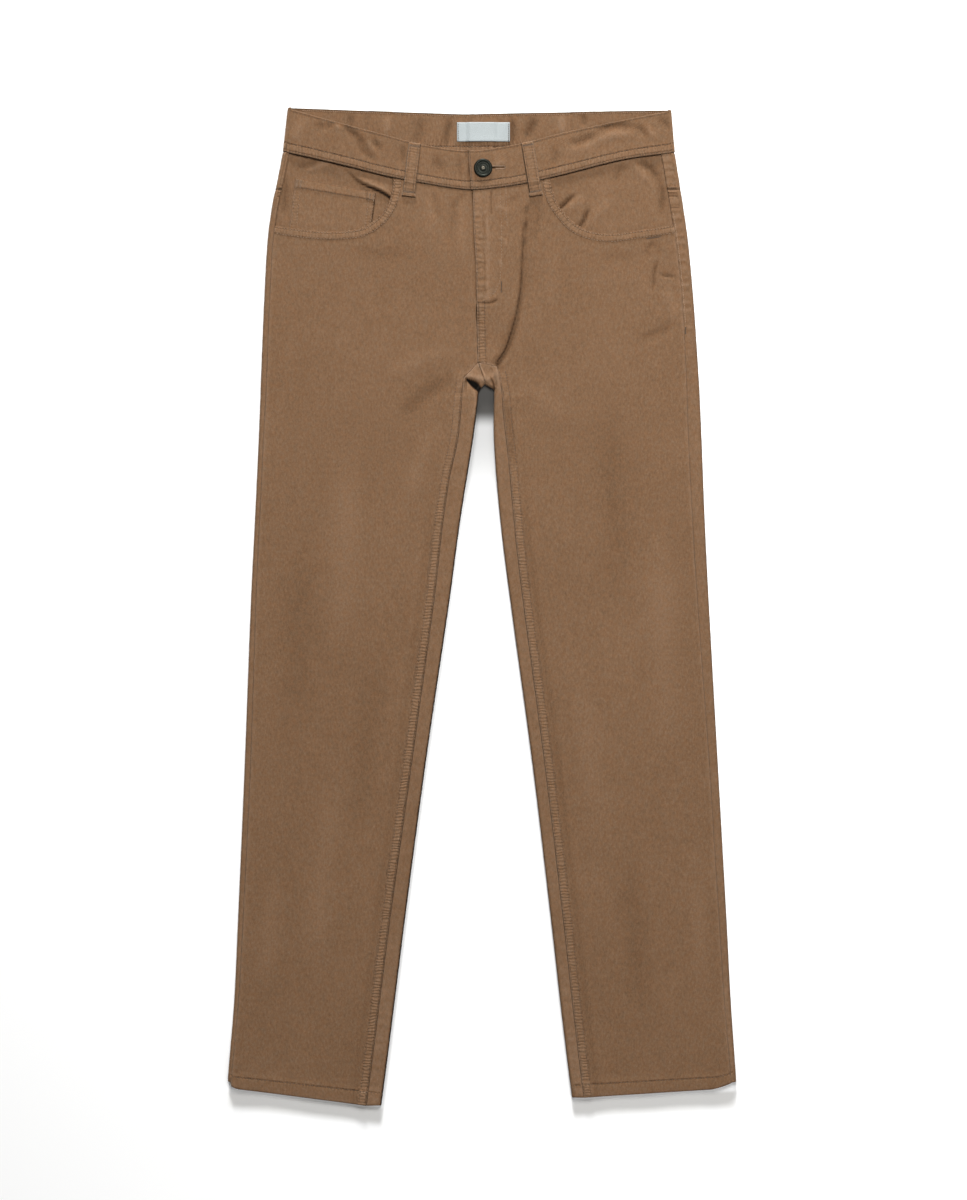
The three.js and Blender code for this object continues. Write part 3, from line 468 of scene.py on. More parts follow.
MOUTH_LINE = {side: Line(smooth_line(points)) for side, points in MOUTH.items()}
FLY_STITCH = smooth_line([(19.1, 84), (20.6, 130), (20.2, 172), (15.9, 193), (5.3, 204)])
FLY_MARKS = [  # path, width and tone of the dents and ridges on the fly: below 0 a dent with painted shade, above 0 a ridge with a painted highlight
    ([(9.8, 91), (9.3, 102), (9.9, 113)], 1.1, -0.8),
    ([(1.0, 92), (1.2, 103)], 1.0, -0.4),
    ([(16, 106), (22, 107), (27, 112)], 1.6, 0.5),
    ([(19, 139), (24, 141), (25, 147)], 1.5, 0.5),
    ([(17, 161), (20, 165), (20, 170)], 1.5, 0.45),
    ([(-4.5, 126), (0, 127), (4, 126)], 1.1, -0.4),
    ([(-4.5, 139), (0, 141), (4, 140)], 1.2, -0.45),
    ([(-4.5, 152), (-1, 151), (3, 153)], 1.0, -0.35),
    ([(-4.5, 167), (1, 168), (4, 166)], 1.2, -0.45),
    ([(-4.5, 181), (0, 183), (5, 183)], 1.1, -0.4),
    ([(-4.5, 193), (1, 195), (6, 194)], 1.2, -0.5),
    ([(-6.5, 206.6), (2, 208), (9, 207.6), (15, 205)], 1.3, -1.2),
    ([(5.0, 116), (5.6, 150), (6.4, 204)], 1.5, 0.45),
    ([(2.2, 116), (2.8, 150), (3.4, 200)], 1.2, -0.35),
    ([(-5, 216), (-4.4, 222), (-4.8, 229)], 1.2, -0.9),
    ([(46, 106), (43.5, 132), (41.4, 168), (40, 192), (37, 212)], 0.8, -0.5),
]


FAR = 30.0  # a distance at which nothing of an edge shows


class Relief:
    """Fine height, sewing and tone of a piece at many places, gathered feature by feature. The tone holds
    lightening from rubbing together with painted shade in creases, dips and grooves and painted highlights
    on lit edges.

    The marks are distances from a folded edge, from its first and from its second row of stitches.
    The depths say how strongly each of them shows: the edge's line is painted lighter, or darker below 0, as
    painted highlight or painted shade, and the rows are painted shade in the stitch grooves.
    """

    def __init__(self, shape):
        self.height = np.zeros(shape)
        self.sewn = np.zeros(shape)
        self.along = np.zeros(shape)
        self.wear = np.zeros(shape)
        self.marks = np.full((*shape, 3), FAR)
        self.depths = np.zeros((*shape, 3))

    def fold_over(self, distance, along, width, raised, rows, seed, pucker=1.0, edge=0.6):
        """A fold sewn down beside an edge. Each row of stitches has its place and its depth. The edge's
        depth paints a line along the fold, a painted highlight above 0 and painted shade below 0; the rows
        paint shade into the stitch grooves, and the sewn cloth is made a little lighter.
        """
        there = (distance > -2) & (distance < 60)
        inside = smooth(width + 1.4, width - 0.4, distance) * there
        pull = bell(distance - width / 2, width * 0.8) * there
        self.height += raised * inside + 0.2 * ripple(along, seed) * pull
        for k, place, depth in ((0, 0, edge), (1, *rows[0]), (2, *rows[-1])):
            if k == 1 and len(rows) == 1:
                continue
            self.mark(k, distance - place, there & (distance - place < self.marks[..., k]), depth)
        stronger = inside * pucker > self.sewn
        self.along = np.where(stronger, along, self.along)
        self.sewn = np.maximum(self.sewn, inside * pucker)
        self.wear += 0.3 * pucker * inside

    def mark(self, k, off, there, depth):
        """Sets one of the marks where it applies."""
        self.marks[..., k] = np.where(there, off, self.marks[..., k])
        self.depths[..., k] = np.where(there, depth, self.depths[..., k])

    def packed(self):
        """The tone with its painted light and shade, the marks and the depths as one grid, to be joined with
        others.
        """
        return np.concatenate([self.wear[..., None], self.marks, self.depths], axis=-1)


def unpacked(tone):
    relief = Relief(tone.shape[:2])
    relief.wear, relief.marks, relief.depths = tone[..., 0], tone[..., 1:4], tone[..., 4:]
    return relief


def front_relief(side, x, drop):
    relief = Relief(np.shape(x))
    piece = f"front_{side}"
    crease = creases(piece, x, drop)
    relief.height += crease + undulation(x, drop) * smooth(90, 150, drop)
    # Creases painted darker in their troughs and lighter on their ridges: painted shade and highlight.
    relief.wear += np.clip(crease, -2.2, 1) * 0.6
    inward = SIGN[side]
    outer = (seam_x("outer", side, drop) - x) * inward
    inner = np.where(drop > CROTCH[1] + 10, (x - inner_x(side, drop)) * inward, 1e3)
    lower = smooth(330, 480, drop)
    if side == "right":
        relief.fold_over(inner, drop, FELL_WIDTH, SEAM_RAISE, ((1.0, 1.1), (8.8, 0.3)), 0.0, 0.8, 0.2)
    else:
        relief.fold_over(inner, drop, FELL_WIDTH, SEAM_RAISE, ((1.4, 0.1), (8.8, 0.5)), 2.0, 0.7, 0.7)
    relief.sewn = relief.sewn * lerp(0.35, 1, lower)
    # Painted shade: a soft darker band beside the inner seam's sewn fold.
    relief.wear -= lerp(0.25, 0.4, side == "left") * lower * bell(inner - 14, 4)
    below = drop > 128
    relief.height += 0.25 * bell(outer, 5) * below
    relief.height += 0.12 * ripple(drop, 3 + inward, 13) * bell(outer, 9) * below
    # Painted highlight along the outer seam, which lightens its shadow line.
    relief.wear += 0.45 * bell(outer, 2.4) * below
    mouth, along, _ = MOUTH_LINE[side].near(x, drop)
    mouth = mouth * mouth_side(side)
    relief.fold_over(mouth, along, 8.5, 0.3, ((2.0, 0.9), (8.2, 0.9)), 2.0 + inward, 0.8, -0.1)
    # Painted shade: a dark line along the pocket's mouth.
    relief.wear -= 1.0 * bell(mouth, 0.5)
    up = hem_drop(side, x) - drop
    relief.fold_over(up, x, HEM_DEPTH, HEM_RAISE, ((HEM_DEPTH - 0.2, 1.4),), 4.0 + inward, 0.3, 0.4)
    saddle, _, _ = FORK["saddle"].near(x, drop)
    # Painted highlight along the saddle seam, which lightens its shadow line.
    relief.wear += 0.45 * bell(saddle, 2.2) + 0.8 * bell(saddle, 0.6)
    band = drop - BAND["front_bottom"](x)
    seam_pull = bell(band, 7)
    relief.height += 0.22 * ripple(x, 5.0, 9) * seam_pull - 0.3 * bell(band, 1.5)
    # Painted shadow: a dark line under the waistband's lower edge.
    relief.wear -= 1.1 * bell(band, 1.1)
    if side == "left":
        fly_relief(relief, x, drop)
    else:
        # Painted shadow beside the fly's edge, and a painted highlight along the centre seam below the fly.
        under_fly = CENTRE["left"](drop) - x
        dark = 0.75 + 0.5 * bump((drop - 150) / 16) + 0.4 * bump((drop - 196) / 12)
        relief.wear -= dark * bell(under_fly - 0.4, 0.8) * (drop < FLY_END)
        seam_highlight = 1.1 + 0.9 * ripple(drop, 1.0, 19)
        relief.wear += seam_highlight * bell(under_fly, 0.6) * smooth(FLY_END, FLY_END + 6, drop)
    return relief


def fly_relief(relief, x, drop):
    """The fly's stitches, its lower end, and the centre seam down to the fork."""
    edge = x - CENTRE["left"](drop)
    above = drop < FLY_END + 2
    relief.height -= 0.25 * bell(Line(FLY_STITCH).near(x, drop)[0], 1.6)
    fly = smooth(12, 5, edge) * above * (edge > -3) * smooth(90, 110, drop)
    relief.sewn = np.maximum(relief.sewn, 0.9 * fly)
    relief.along = np.where(fly > 0.02, drop * 0.55, relief.along)
    # Painted highlight: the raised fly lighter than the cloth beside it.
    relief.wear += 0.3 * above * smooth(26, 12, edge) * (edge > -3)
    lower = (drop > FLY_END) & (drop < CROTCH[1] + 6)
    relief.fold_over(np.where(lower, edge, 1e3), drop, 8.5, 0.35, ((1.5, 0.8), (8.0, 0.7)), 6.0, 0.7, 1.6)
    # Painted highlight on the fly's edge and painted shade just inside it.
    relief.wear += 0.6 * bell(edge, 1.1) * above - 0.3 * bell(edge - 2.2, 0.8) * above
    # FLY_MARKS: painted shade in the dents, painted highlight on the ridges.
    for points, width, shade in FLY_MARKS:
        mark = bell(Line(smooth_line(points, 2)).near(x, drop)[0], width)
        relief.height += 0.6 * shade * mark
        relief.wear += 1.3 * shade * mark
    outside = x - FLY_FOLD["x"](drop)
    reach = smooth(90, 124, drop) * smooth(300, 268, drop)
    relief.height -= 0.9 * reach * bell(outside - 3, 4.5)
    # Painted shadow: a thin dark line along the fold beside the fly and softer shade to both sides, darker
    # towards the fork.
    low = smooth(190, 262, drop)
    line = (1.3 + 0.5 * low) * bell(outside - 0.7, 0.8) + 0.3 * bell(outside + 1.5, 1.7)
    shade = 0.3 * low * bell(outside + 4.5, 3.5)
    relief.wear -= (line + shade + (0.3 + 0.5 * low) * bell(outside - 3.5, 3.5)) * reach


def mouth_side(side):
    """1 or -1, so that distances from the mouth count above 0 on the front's own cloth."""
    below = {"right": (-150, 180), "left": (150, 180)}[side]
    distance, _, _ = MOUTH_LINE[side].near(*below, reach=80)
    return float(np.sign(distance))


def front_face(side, x, drop):
    return top_height(side, x, drop) + front_relief(side, x, drop).height


# Meshes

RELIEF_VALUES = ("wear", "sewn", "along", "marks", "depths")


def remove_unused(quads, count):
    used = np.unique(quads)
    place = np.full(count, -1)
    place[used] = np.arange(len(used))
    return used, place[quads]


def wall(name, outer, inner, uv, relief=None, kept=None, soften=0.3):
    """A closed sheet between two grids of points, with soft edges, in metres."""
    rows, columns = outer.shape[:2]
    index = np.arange(rows * columns).reshape(rows, columns)
    quads = joined(index[:-1, :-1], index[:-1, 1:], index[1:, 1:], index[1:, :-1])
    quads = quads.reshape(-1, 4) if kept is None else quads[kept]
    used, quads = remove_unused(quads, rows * columns)
    outer, inner, uv = (grid.reshape(rows * columns, -1)[used] for grid in (outer, inner, uv))
    values = {}
    if relief is not None:
        for key in RELIEF_VALUES:
            value = getattr(relief, key)
            values[key] = value.reshape(rows * columns, *value.shape[2:])[used]
    count = len(used)
    edges = np.concatenate([quads[:, [i, (i + 1) % 4]] for i in range(4)])
    there = edges[:, 0] * count + edges[:, 1]
    back = edges[:, 1] * count + edges[:, 0]
    rim = edges[~np.isin(there, back)]
    thick = np.linalg.norm(outer - inner, axis=1)
    normal = (outer - inner) / np.maximum(thick, 1e-6)[:, None]
    side = np.cross(outer[rim[:, 1]] - outer[rim[:, 0]], normal[rim[:, 0]])
    way = np.zeros_like(outer)
    for k in (0, 1):
        np.add.at(way, rim[:, k], side)
    way /= np.maximum(np.linalg.norm(way, axis=1), 1e-9)[:, None]
    border = np.unique(rim)
    middle = np.full(count, -1)
    middle[border] = np.arange(len(border)) + 2 * count
    a, b, c = outer[quads[:, 0]], outer[quads[:, 1]], outer[quads[:, 3]]
    if (np.cross(b - a, c - a) * normal[quads[:, 0]]).sum() < 0:
        way = -way
    centre = (outer[border] + inner[border]) / 2
    drawn = way[border] * (soften * thick[border])[:, None]
    outer, inner = outer.copy(), inner.copy()
    outer[border] -= drawn + (normal * thick[:, None] * 0.12)[border]
    inner[border] -= drawn - (normal * thick[:, None] * 0.12)[border]
    points = np.concatenate([outer, inner, centre]) * MM
    low, high = rim[:, 0], rim[:, 1]
    faces = np.concatenate([
        quads,
        quads[:, ::-1] + count,
        joined(high, low, middle[low], middle[high]),
        joined(middle[high], middle[low], low + count, high + count),
    ])
    mesh = bpy.data.meshes.new(f"{name}_cloth")
    mesh.from_pydata(points.tolist(), [], faces.tolist())
    spread = {key: np.concatenate([value, value, value[border]]) for key, value in values.items()}
    if "along" in spread:
        spread["along"] = spread["along"] * MM
    for key, value in spread.items():
        kind, field = ("FLOAT", "value") if value.ndim == 1 else ("FLOAT_VECTOR", "vector")
        layer = mesh.attributes.new(key, kind, "POINT")
        layer.data.foreach_set(field, value.astype(np.float32).ravel())
    finish_mesh(mesh, np.concatenate([uv, uv, uv[border]]) * MM)
    piece = bpy.data.objects.new(mesh.name, mesh)
    bpy.context.collection.objects.link(piece)
    return piece


def finish_mesh(mesh, uv):
    """Faces turned out, smooth shading, and the cut's own coordinates."""
    corners = np.empty(len(mesh.loops), int)
    mesh.loops.foreach_get("vertex_index", corners)
    layer = mesh.uv_layers.new(name="Cut")
    layer.data.foreach_set("uv", uv[corners].astype(np.float32).ravel())
    points = np.empty(len(mesh.vertices) * 3)
    mesh.vertices.foreach_get("co", points)
    points = points.reshape(-1, 3)
    quads = corners.reshape(-1, 4)
    a, b, c, d = (points[quads[:, k]] for k in range(4))
    volume = (a * (np.cross(b, c) + np.cross(c, d))).sum()
    if volume < 0:
        mesh.flip_normals()
    mesh.shade_smooth()
    mesh.validate()
    mesh.update()


def cut_size(outer):
    """Width, length and area of the flat cut, from a grid of points on its face."""
    across = np.linalg.norm(np.diff(outer, axis=1), axis=-1).sum(axis=1).max()
    down = np.linalg.norm(np.diff(outer, axis=0), axis=-1).sum(axis=0).max()
    a, b, c, d = outer[:-1, :-1], outer[:-1, 1:], outer[1:, 1:], outer[1:, :-1]
    areas = 0.5 * np.linalg.norm(np.cross(c - a, d - b), axis=-1)
    return across * MM, down * MM, areas * MM * MM


def declare(piece, node, outer, kept=None):
    """Lets a piece ride on the part and hides the part's own piece that it stands for. The cut's size and
    area are worked out but not used.
    """
    width, length, areas = cut_size(outer)
    area = areas.sum() if kept is None else areas[kept].sum()
    area = float(np.clip(area, 0.301 * width * length, width * length))
    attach(piece, "root")
    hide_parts(node)


def make_sheet(name, outer, inner, uv, relief=None, kept=None):
    """A piece of corduroy between two grids of points, made to ride on the part."""
    piece = wall(name, outer, inner, uv, relief, kept)
    piece.data.materials.append(cloth_material())
    declare(piece, name, outer, kept)


def upright(x, drop, top, thickness):
    """The two skins of cloth that lies flat."""
    outer = joined(x, y_of(drop), top)
    inner = outer - [0, 0, 1] * np.broadcast_to(np.asarray(thickness, float), x.shape)[..., None]
    return outer, inner


def grain(side, x, drop):
    """The cut's own coordinates, with the wales along the leg."""
    axis = {"right": (-118, -190), "left": (114, 184)}[side]
    return joined(x - lerp(*axis, (drop - 80) / 980), drop)


def front_rows(side):
    """Rows of a front: what lies at the outer and the inner seam, and how closely rows follow."""
    _, saddle_drop, saddle_outer = SADDLE[side]
    hem = HEM[side]
    outer_top = BAND["front_bottom"](seam_x("outer", side, 50)) + GAP
    inner_top = BAND["front_bottom"](CENTRE[side](88)) + GAP
    low_outer, low_inner = hem["outer"] - hem["corner"], hem["inner"]
    keys = [
        (outer_top, inner_top, 2),
        (outer_top + 1.8, inner_top + 1.8, 110),
        (HIP_END, CROTCH[1], 7),
        (saddle_outer, saddle_drop, 8),
        (ARCH_FOOT - 9, ARCH_FOOT, 10),
        (330, 330, 118),
        (HEM_BLEND, HEM_BLEND, 22),
        (low_outer - HEM_DEPTH, low_inner - HEM_DEPTH, 10),
        (low_outer, low_inner, 0),
    ]
    rows = [np.linspace(a[:2], b[:2], a[2], endpoint=False) for a, b in zip(keys, keys[1:])]
    return np.vstack([*rows, [keys[-1][:2]]])


EDGE_COLUMNS = np.array([0, 0.8, 1.6, 3.2, 4.8, 6.4, 8, 9.2, 11.5, 14.5])
INNER_COLUMNS = np.concatenate([EDGE_COLUMNS, np.arange(16, 52, 1.6), np.arange(52, 64, 3)])
MIDDLE_COLUMNS = 72


def front_grid(side):
    rows = front_rows(side)
    outer_drop, inner_drop = rows.T
    outer, inner = seam_x("outer", side, outer_drop), inner_x(side, inner_drop)
    width = np.abs(inner - outer)[:, None]
    near = EDGE_COLUMNS / width
    far = 1 - INNER_COLUMNS[::-1] / width
    t = np.linspace(0, 1, MIDDLE_COLUMNS + 2)[1:-1]
    share = np.hstack([near, lerp(near[:, -1:], far[:, :1], t), far])
    x = lerp(outer[:, None], inner[:, None], share)
    drop = lerp(outer_drop[:, None], inner_drop[:, None], share)
    hip = np.clip((outer_drop - outer_drop[0]) / (HIP_END - outer_drop[0]), 0, 1)[:, None]
    band_share = 1 - smooth(0, 0.5, hip)
    band_bend = BAND["front_bottom"](x) + GAP - lerp(outer_drop[0], inner_drop[0], share)
    hem_share = smooth(HEM_BLEND, HEM[side]["outer"] - HEM_DEPTH - 8, outer_drop)[:, None]
    drop = drop + band_share * band_bend + hem_share * hem_bend(side, share)
    gap = GAP / 2 * SIGN[side]
    low = inner_drop[:, None] > FLY_END
    closed = np.where(inner_drop[:, None] > SADDLE[side][1], 1, SEAM_GAP / GAP)
    x = x - SEAM_GAP / 2 * SIGN[side] * (share == 0) + gap * closed * (share == 1) * low
    return x, drop


def snap_to_mouth(side, x, drop):
    """Moves the points beside the pocket's mouth onto it, and says which cells stay."""
    distance, _, nearest = MOUTH_LINE[side].near(x, drop, reach=40)
    distance = distance * mouth_side(side)
    far = np.abs(distance) > 1e5
    distance = np.where(far, 30.0, distance)
    above = drop < np.interp(x, *upper_mouth(side)) - 0.01
    distance = np.where(far & above, -30.0, distance)
    moved = np.zeros(x.shape, bool)
    for axis in (0, 1):
        a = np.take(distance, range(x.shape[axis] - 1), axis)
        b = np.take(distance, range(1, x.shape[axis]), axis)
        crossed, first = a * b < 0, np.abs(a) < np.abs(b)
        before = np.pad(crossed & first, [(0, 1) if k == axis else (0, 0) for k in (0, 1)])
        after = np.pad(crossed & ~first, [(1, 0) if k == axis else (0, 0) for k in (0, 1)])
        moved |= before | after
    x = np.where(moved, nearest[..., 0], x)
    drop = np.where(moved, nearest[..., 1], drop)
    distance = np.where(moved, 0, distance)
    cells = (distance[:-1, :-1] + distance[:-1, 1:] + distance[1:, 1:] + distance[1:, :-1]) > 0
    return x, drop, cells


def upper_mouth(side):
    """The mouth's drop by x, for places far from it."""
    points = MOUTH_LINE[side].points
    order = np.argsort(points[:, 0])
    return points[order, 0], points[order, 1]


def make_front(side):
    x, drop = front_grid(side)
    x, drop, kept = snap_to_mouth(side, x, drop)
    relief = front_relief(side, x, drop)
    top = top_height(side, x, drop) + relief.height
    outer, inner = upright(x, drop, top, CLOTH)
    make_sheet(f"front_{side}", outer, inner, grain(side, x, drop), relief, kept)


# Backs: wrapped strips at the edges and the stretch on the table

CURL_STEPS = 10
EDGE_SHADE = {"outer": 1.3, "right": 4.5, "left": 1.5}  # how strong the painted shade is on each folded edge's curl, full on its lower half
TUCK = np.array([-2.0, -0.5, -0.1, 0.25, 0.6, 1.0])  # first places on a strip, from its seam outwards
STRIP_SHARES = np.array([0.13, 0.25, 0.38, 0.5, 0.62, 0.73, 0.83, 0.92])
FLOOR_SHARES = np.array([0.03, 0.07, 0.1, 0.13, 0.19, 0.3, 0.42, 0.55, 0.68, 0.8, 0.9, 0.94, 0.97])


def leg_rows(side):
    """Outer and inner drops of a back's rows below the crotch, from the hem up."""
    rows = front_rows(side)
    return rows[rows[:, 1] >= ARCH_FOOT - 1e-6][::-1]


def folded_edge(side, fold, out, seam, drops, dark, snug=0.5):
    """Middles and normals of the cloth from its seam in front, round the fold, to the table."""
    radius = (LEG["roll"](drops) / 2)[:, None]
    start = fold - out * radius
    wide = np.linalg.norm(start - seam, axis=-1)[:, None]
    t = np.concatenate([TUCK / wide, lerp(TUCK[-1] / wide, 1, STRIP_SHARES)], axis=1)
    strip = seam[:, None] * (1 - t[..., None]) + start[:, None] * t[..., None]
    x, drop = strip[..., 0], y_of(0) - strip[..., 1]
    lift = strip_relief(side, x, drop, np.maximum(0, t))
    under_facing = (CLOTH + GAP) * smooth(172, 158, drop)
    tuck = (CLOTH + 0.5 + under_facing) * smooth(snug, -0.35, t * wide)
    level = top_height(side, x, drop) + lift.height - CLOTH / 2 - tuck
    strip_middle = np.concatenate([strip, level[..., None]], axis=-1)
    strip_normal = np.broadcast_to([0.0, 0, 1], strip_middle.shape)
    angle = math.pi * (0.5 - np.arange(CURL_STEPS + 1) / CURL_STEPS)
    cos, sin = np.cos(angle), np.sin(angle)
    wobble = 1 + 0.035 * ripple(drops, 1.7 * SIGN[side] + fold[0, 0], 17)[:, None]
    reach = (radius - CLOTH / 2) * wobble
    flat = start[:, None] + out[:, None] * (reach * cos)[..., None]
    rise = radius + (radius - CLOTH / 2) * sin
    curl_middle = np.concatenate([flat, rise[..., None]], axis=-1)
    curl_normal = np.concatenate([out[:, None] * cos[None, :, None],
                                  np.broadcast_to(sin[None, :, None], (*flat.shape[:2], 1))], axis=-1)
    rolled = Relief(flat.shape[:2])
    fork_relief(rolled, flat[..., 0], y_of(0) - flat[..., 1])
    # The curl is made lighter towards its outer side and then given painted shade from EDGE_SHADE, full on
    # its lower half and fading out over its upper half.
    rolled.wear = 0.2 * cos + rolled.wear * (sin > -0.5)
    from_edge = np.where(sin > 0, reach * (1 - cos), 0)
    rolled.mark(0, from_edge, True, -np.broadcast_to(dark, (len(fold), 1)))
    return (np.concatenate([strip_middle, curl_middle], axis=1),
            np.concatenate([strip_normal, curl_normal], axis=1),
            np.concatenate([lift.packed(), rolled.packed()], axis=1))


FORK = {  # the fold's lip under the fork, the dip below it with its painted shadow, the leg's edge beside it, the cut edge
    "lip": Line(smooth_line([(-17, 285), (-9, 286), (0, 288.5), (8, 288), (14, 283)])),
    "hollow": Line(smooth_line([
        (-17, 288.6), (-11, 292.3), (-6.5, 296), (-3.2, 300), (-3.4, 306), (-5.2, 323)])),
    "leg_edge": Line(smooth_line([(-17.8, 290.8), (-12.5, 297), (-8.6, 302), (-7.2, 311), (-8.8, 326)])),
    "cut_edge": Line(smooth_line([(9.8, 288), (11.8, 292), (13.2, 298)])),
    "centre": Line([(-4, 271), (-0.6, 277), (3, 284)]),
    "saddle": Line([
        (-21, 294), (-18.6, 287), (-12, 279), (-5, 272.5), (2, 271.5), (11, 273), (15.9, 276), (19, 290)]),
}


def fork_relief(relief, x, drop):
    """The lip of cloth under the fork, painted lighter, and the dip beside it, lowered and painted in
    near-black shadow. Painted highlight runs along the leg's edge, the saddle and the centre seam, painted
    shadow along the cut edge, and two dots are darker.
    """
    low = {name: line.near(x, drop)[:2] for name, line in FORK.items()}
    distance, along = low["hollow"]
    width = 1.2 + 2.7 * bump((along - 12) / 12)
    hollow = np.exp(-np.square(distance / width) ** 2)
    relief.height -= 2.6 * hollow
    relief.wear -= 4.0 * hollow
    relief.height += 0.9 * bell(low["lip"][0], 3.5) * (1 - hollow)
    relief.wear += 0.8 * bell(low["lip"][0], 4.5) * (1 - hollow)
    relief.wear += 0.7 * bell(low["leg_edge"][0], 1.3)
    relief.wear += 0.5 * bell(low["saddle"][0], 3.2) + 0.8 * bell(low["saddle"][0], 0.6)
    relief.wear += 3.0 * bell(low["centre"][0], 0.7)
    relief.wear -= 2.2 * bell(low["cut_edge"][0], 1.2)
    for dot in ((-6.4, 272.5), (10.2, 279.0)):
        relief.wear -= 1.6 * np.exp(-(np.square(x - dot[0]) + np.square(drop - dot[1])) / 1.4)


def strip_relief(side, x, drop, share):
    """The strips beside the seams: sunk at the seam, with small puckers and the hem's fold."""
    relief = Relief(x.shape)
    relief.height -= 0.25 * bell(share, 0.12) * smooth(300, 330, drop)
    relief.height += 0.14 * ripple(drop, 7.0 + SIGN[side], 8) * (1 - share)
    ribbed = 0.75 * smooth(260, 210, drop) if side == "left" else 0
    # The strips made lighter, more so towards the hem, with small ribs given painted shade and highlight
    # across them, strongest near the top on the left.
    worn = smooth(860, 960, drop)
    relief.wear += 0.15 + 0.25 * worn + (0.12 + ribbed + 0.3 * worn) * ripple(drop, 2.0, 9)
    up = hem_drop(side, x) - drop
    relief.height += HEM_RAISE * 0.6 * smooth(HEM_DEPTH + 1, HEM_DEPTH - 1, up)
    above = YOKE["side"] - drop
    relief.height += 0.3 * smooth(7, 5, above) * (above > -0.01)
    sewn = (above > -0.01) & (above < 20)
    # The yoke's and the hem's rows of stitches, painted as shaded grooves.
    rows = ((1, above - 0.6, sewn), (2, above - 4.3, sewn), (1, above + 3.9, (above < 0) & (above > -20)),
            (2, above + 7.3, (above < 0) & (above > -20)), (2, up - HEM_DEPTH, up < 25))
    for k, off, there in rows:
        relief.mark(k, off, there, 1.3)
    fork_relief(relief, x, drop)
    return relief


def outer_fold(side, drops, seam_drops=None):
    seam_drops = drops if seam_drops is None else seam_drops
    sign = SIGN[side]
    fold = joined(leg("outer", side, drops), y_of(drops))
    seam = joined(seam_x("outer", side, drops) + sign * SEAM_GAP / 2, y_of(seam_drops))
    out = np.broadcast_to([float(sign), 0.0], fold.shape)
    snug = lerp(0.0, 0.3, smooth(120, 160, drops))[:, None]
    return folded_edge(side, fold, out, seam, drops, EDGE_SHADE["outer"], snug)


def floor_between(a, b, shares, bend, lift):
    """The stretch on the table between the feet of two folds, given as x and drop."""
    t = shares[None, :]
    x = lerp(a[:, :1], b[:, :1], t)
    drop = lerp(a[:, 1:], b[:, 1:], t) + bend
    middle = joined(x, y_of(drop), (CLOTH + SOLE) / 2 + lift)
    return middle, np.broadcast_to([0.0, 0, -1], middle.shape)


def foot_of(middle):
    return joined(middle[:, -1, 0], y_of(0) - middle[:, -1, 1])


def make_back(side):
    sign = SIGN[side]
    legs = leg_rows(side)
    steps = 28
    t = np.arange(1, steps + 1) / steps
    arch_start = float(leg("inner", side, ARCH_FOOT)), ARCH_FOOT
    outline = [arch_start, *ARCH[side][::-1], (ARCH["x"], ARCH["drop"])]
    arch = Line(smooth_line(outline, 0.3))
    arch = arch.at(t * arch.length)[0]
    fold = np.vstack([joined(leg("inner", side, legs[:, 1]), legs[:, 1]), arch])
    x, drop, outer_drop = SADDLE[side]
    up = ((t - t[0]) / (1 - t[0]))[:, None]
    beside = np.array([[0.12 * sign, 0.35]])
    saddle = lerp(beside + [x, drop], beside + CROTCH, up)
    seam_points = joined(seam_x("inner", side, legs[:, 1]) - sign * GAP / 2, legs[:, 1])
    seam = np.vstack([seam_points, saddle])
    outer_drops = np.concatenate([legs[:, 0], lerp(outer_drop, SEAT_EDGE, up[:, 0])])
    plan, seam_plan = (joined(p[:, 0], y_of(p[:, 1])) for p in (fold, seam))
    run = np.gradient(plan, axis=0)
    run /= np.linalg.norm(run, axis=1)[:, None]
    out = joined(run[:, 1], -run[:, 0]) * -sign
    out[-1] = (0, -1)
    at_fork = smooth(ARCH["drop"] + 26, ARCH["drop"] + 10, fold[:, 1:])
    shade = EDGE_SHADE[side] * (1 - smooth(ARCH["drop"] + 16, ARCH["drop"] + 4, fold[:, 1:]))
    inner_middle, inner_normal, inner_tone = folded_edge(
        side, plan, out, seam_plan, fold[:, 1], shade, lerp(0.5, -0.03, at_fork))
    low = HEM[side]["outer"] - HEM[side]["corner"]
    raised = HEM[side]["fold"] * smooth(low - 12, low, outer_drops)
    outer_middle, outer_normal, outer_tone = outer_fold(side, outer_drops - raised, outer_drops)
    hem_share = smooth(HEM_BLEND, HEM[side]["outer"] - HEM_DEPTH - 8, outer_drops)[:, None]
    rest = 1 - FLOOR_SHARES - np.maximum(0, 1 - FLOOR_SHARES / 0.05) ** 2
    bend = hem_share * hem_bend(side, FLOOR_SHARES)[None] + raised[:, None] * rest
    plateau = smooth(0.1, 0.19, FLOOR_SHARES) * smooth(0.97, 0.9, FLOOR_SHARES)
    lift = LIFT["pocket"] * smooth(296, 278, outer_drops)[:, None] * plateau
    feet = foot_of(outer_middle), foot_of(inner_middle)
    floor, floor_normal = floor_between(*feet, FLOOR_SHARES, bend, lift)
    middle = np.concatenate([outer_middle, floor, inner_middle[:, ::-1]], axis=1)
    normal = np.concatenate([outer_normal, floor_normal, inner_normal[:, ::-1]], axis=1)
    tone = np.concatenate([outer_tone, Relief(floor.shape[:2]).packed(), inner_tone[:, ::-1]], axis=1)
    seat = seat_rows(side, middle.shape[1])
    middle, normal = np.concatenate([middle, seat[0]]), np.concatenate([normal, seat[1]])
    tone = np.concatenate([tone, seat[2]])
    kept = np.ones((middle.shape[0] - 1, middle.shape[1] - 1), bool)
    kept[len(outer_drops) - 1:, outer_middle.shape[1] + len(FLOOR_SHARES):] = False
    outer, inner = skins(middle, normal, CLOTH)
    make_sheet(f"back_{side}", outer, inner, wrapped_grain(middle), unpacked(tone), kept)


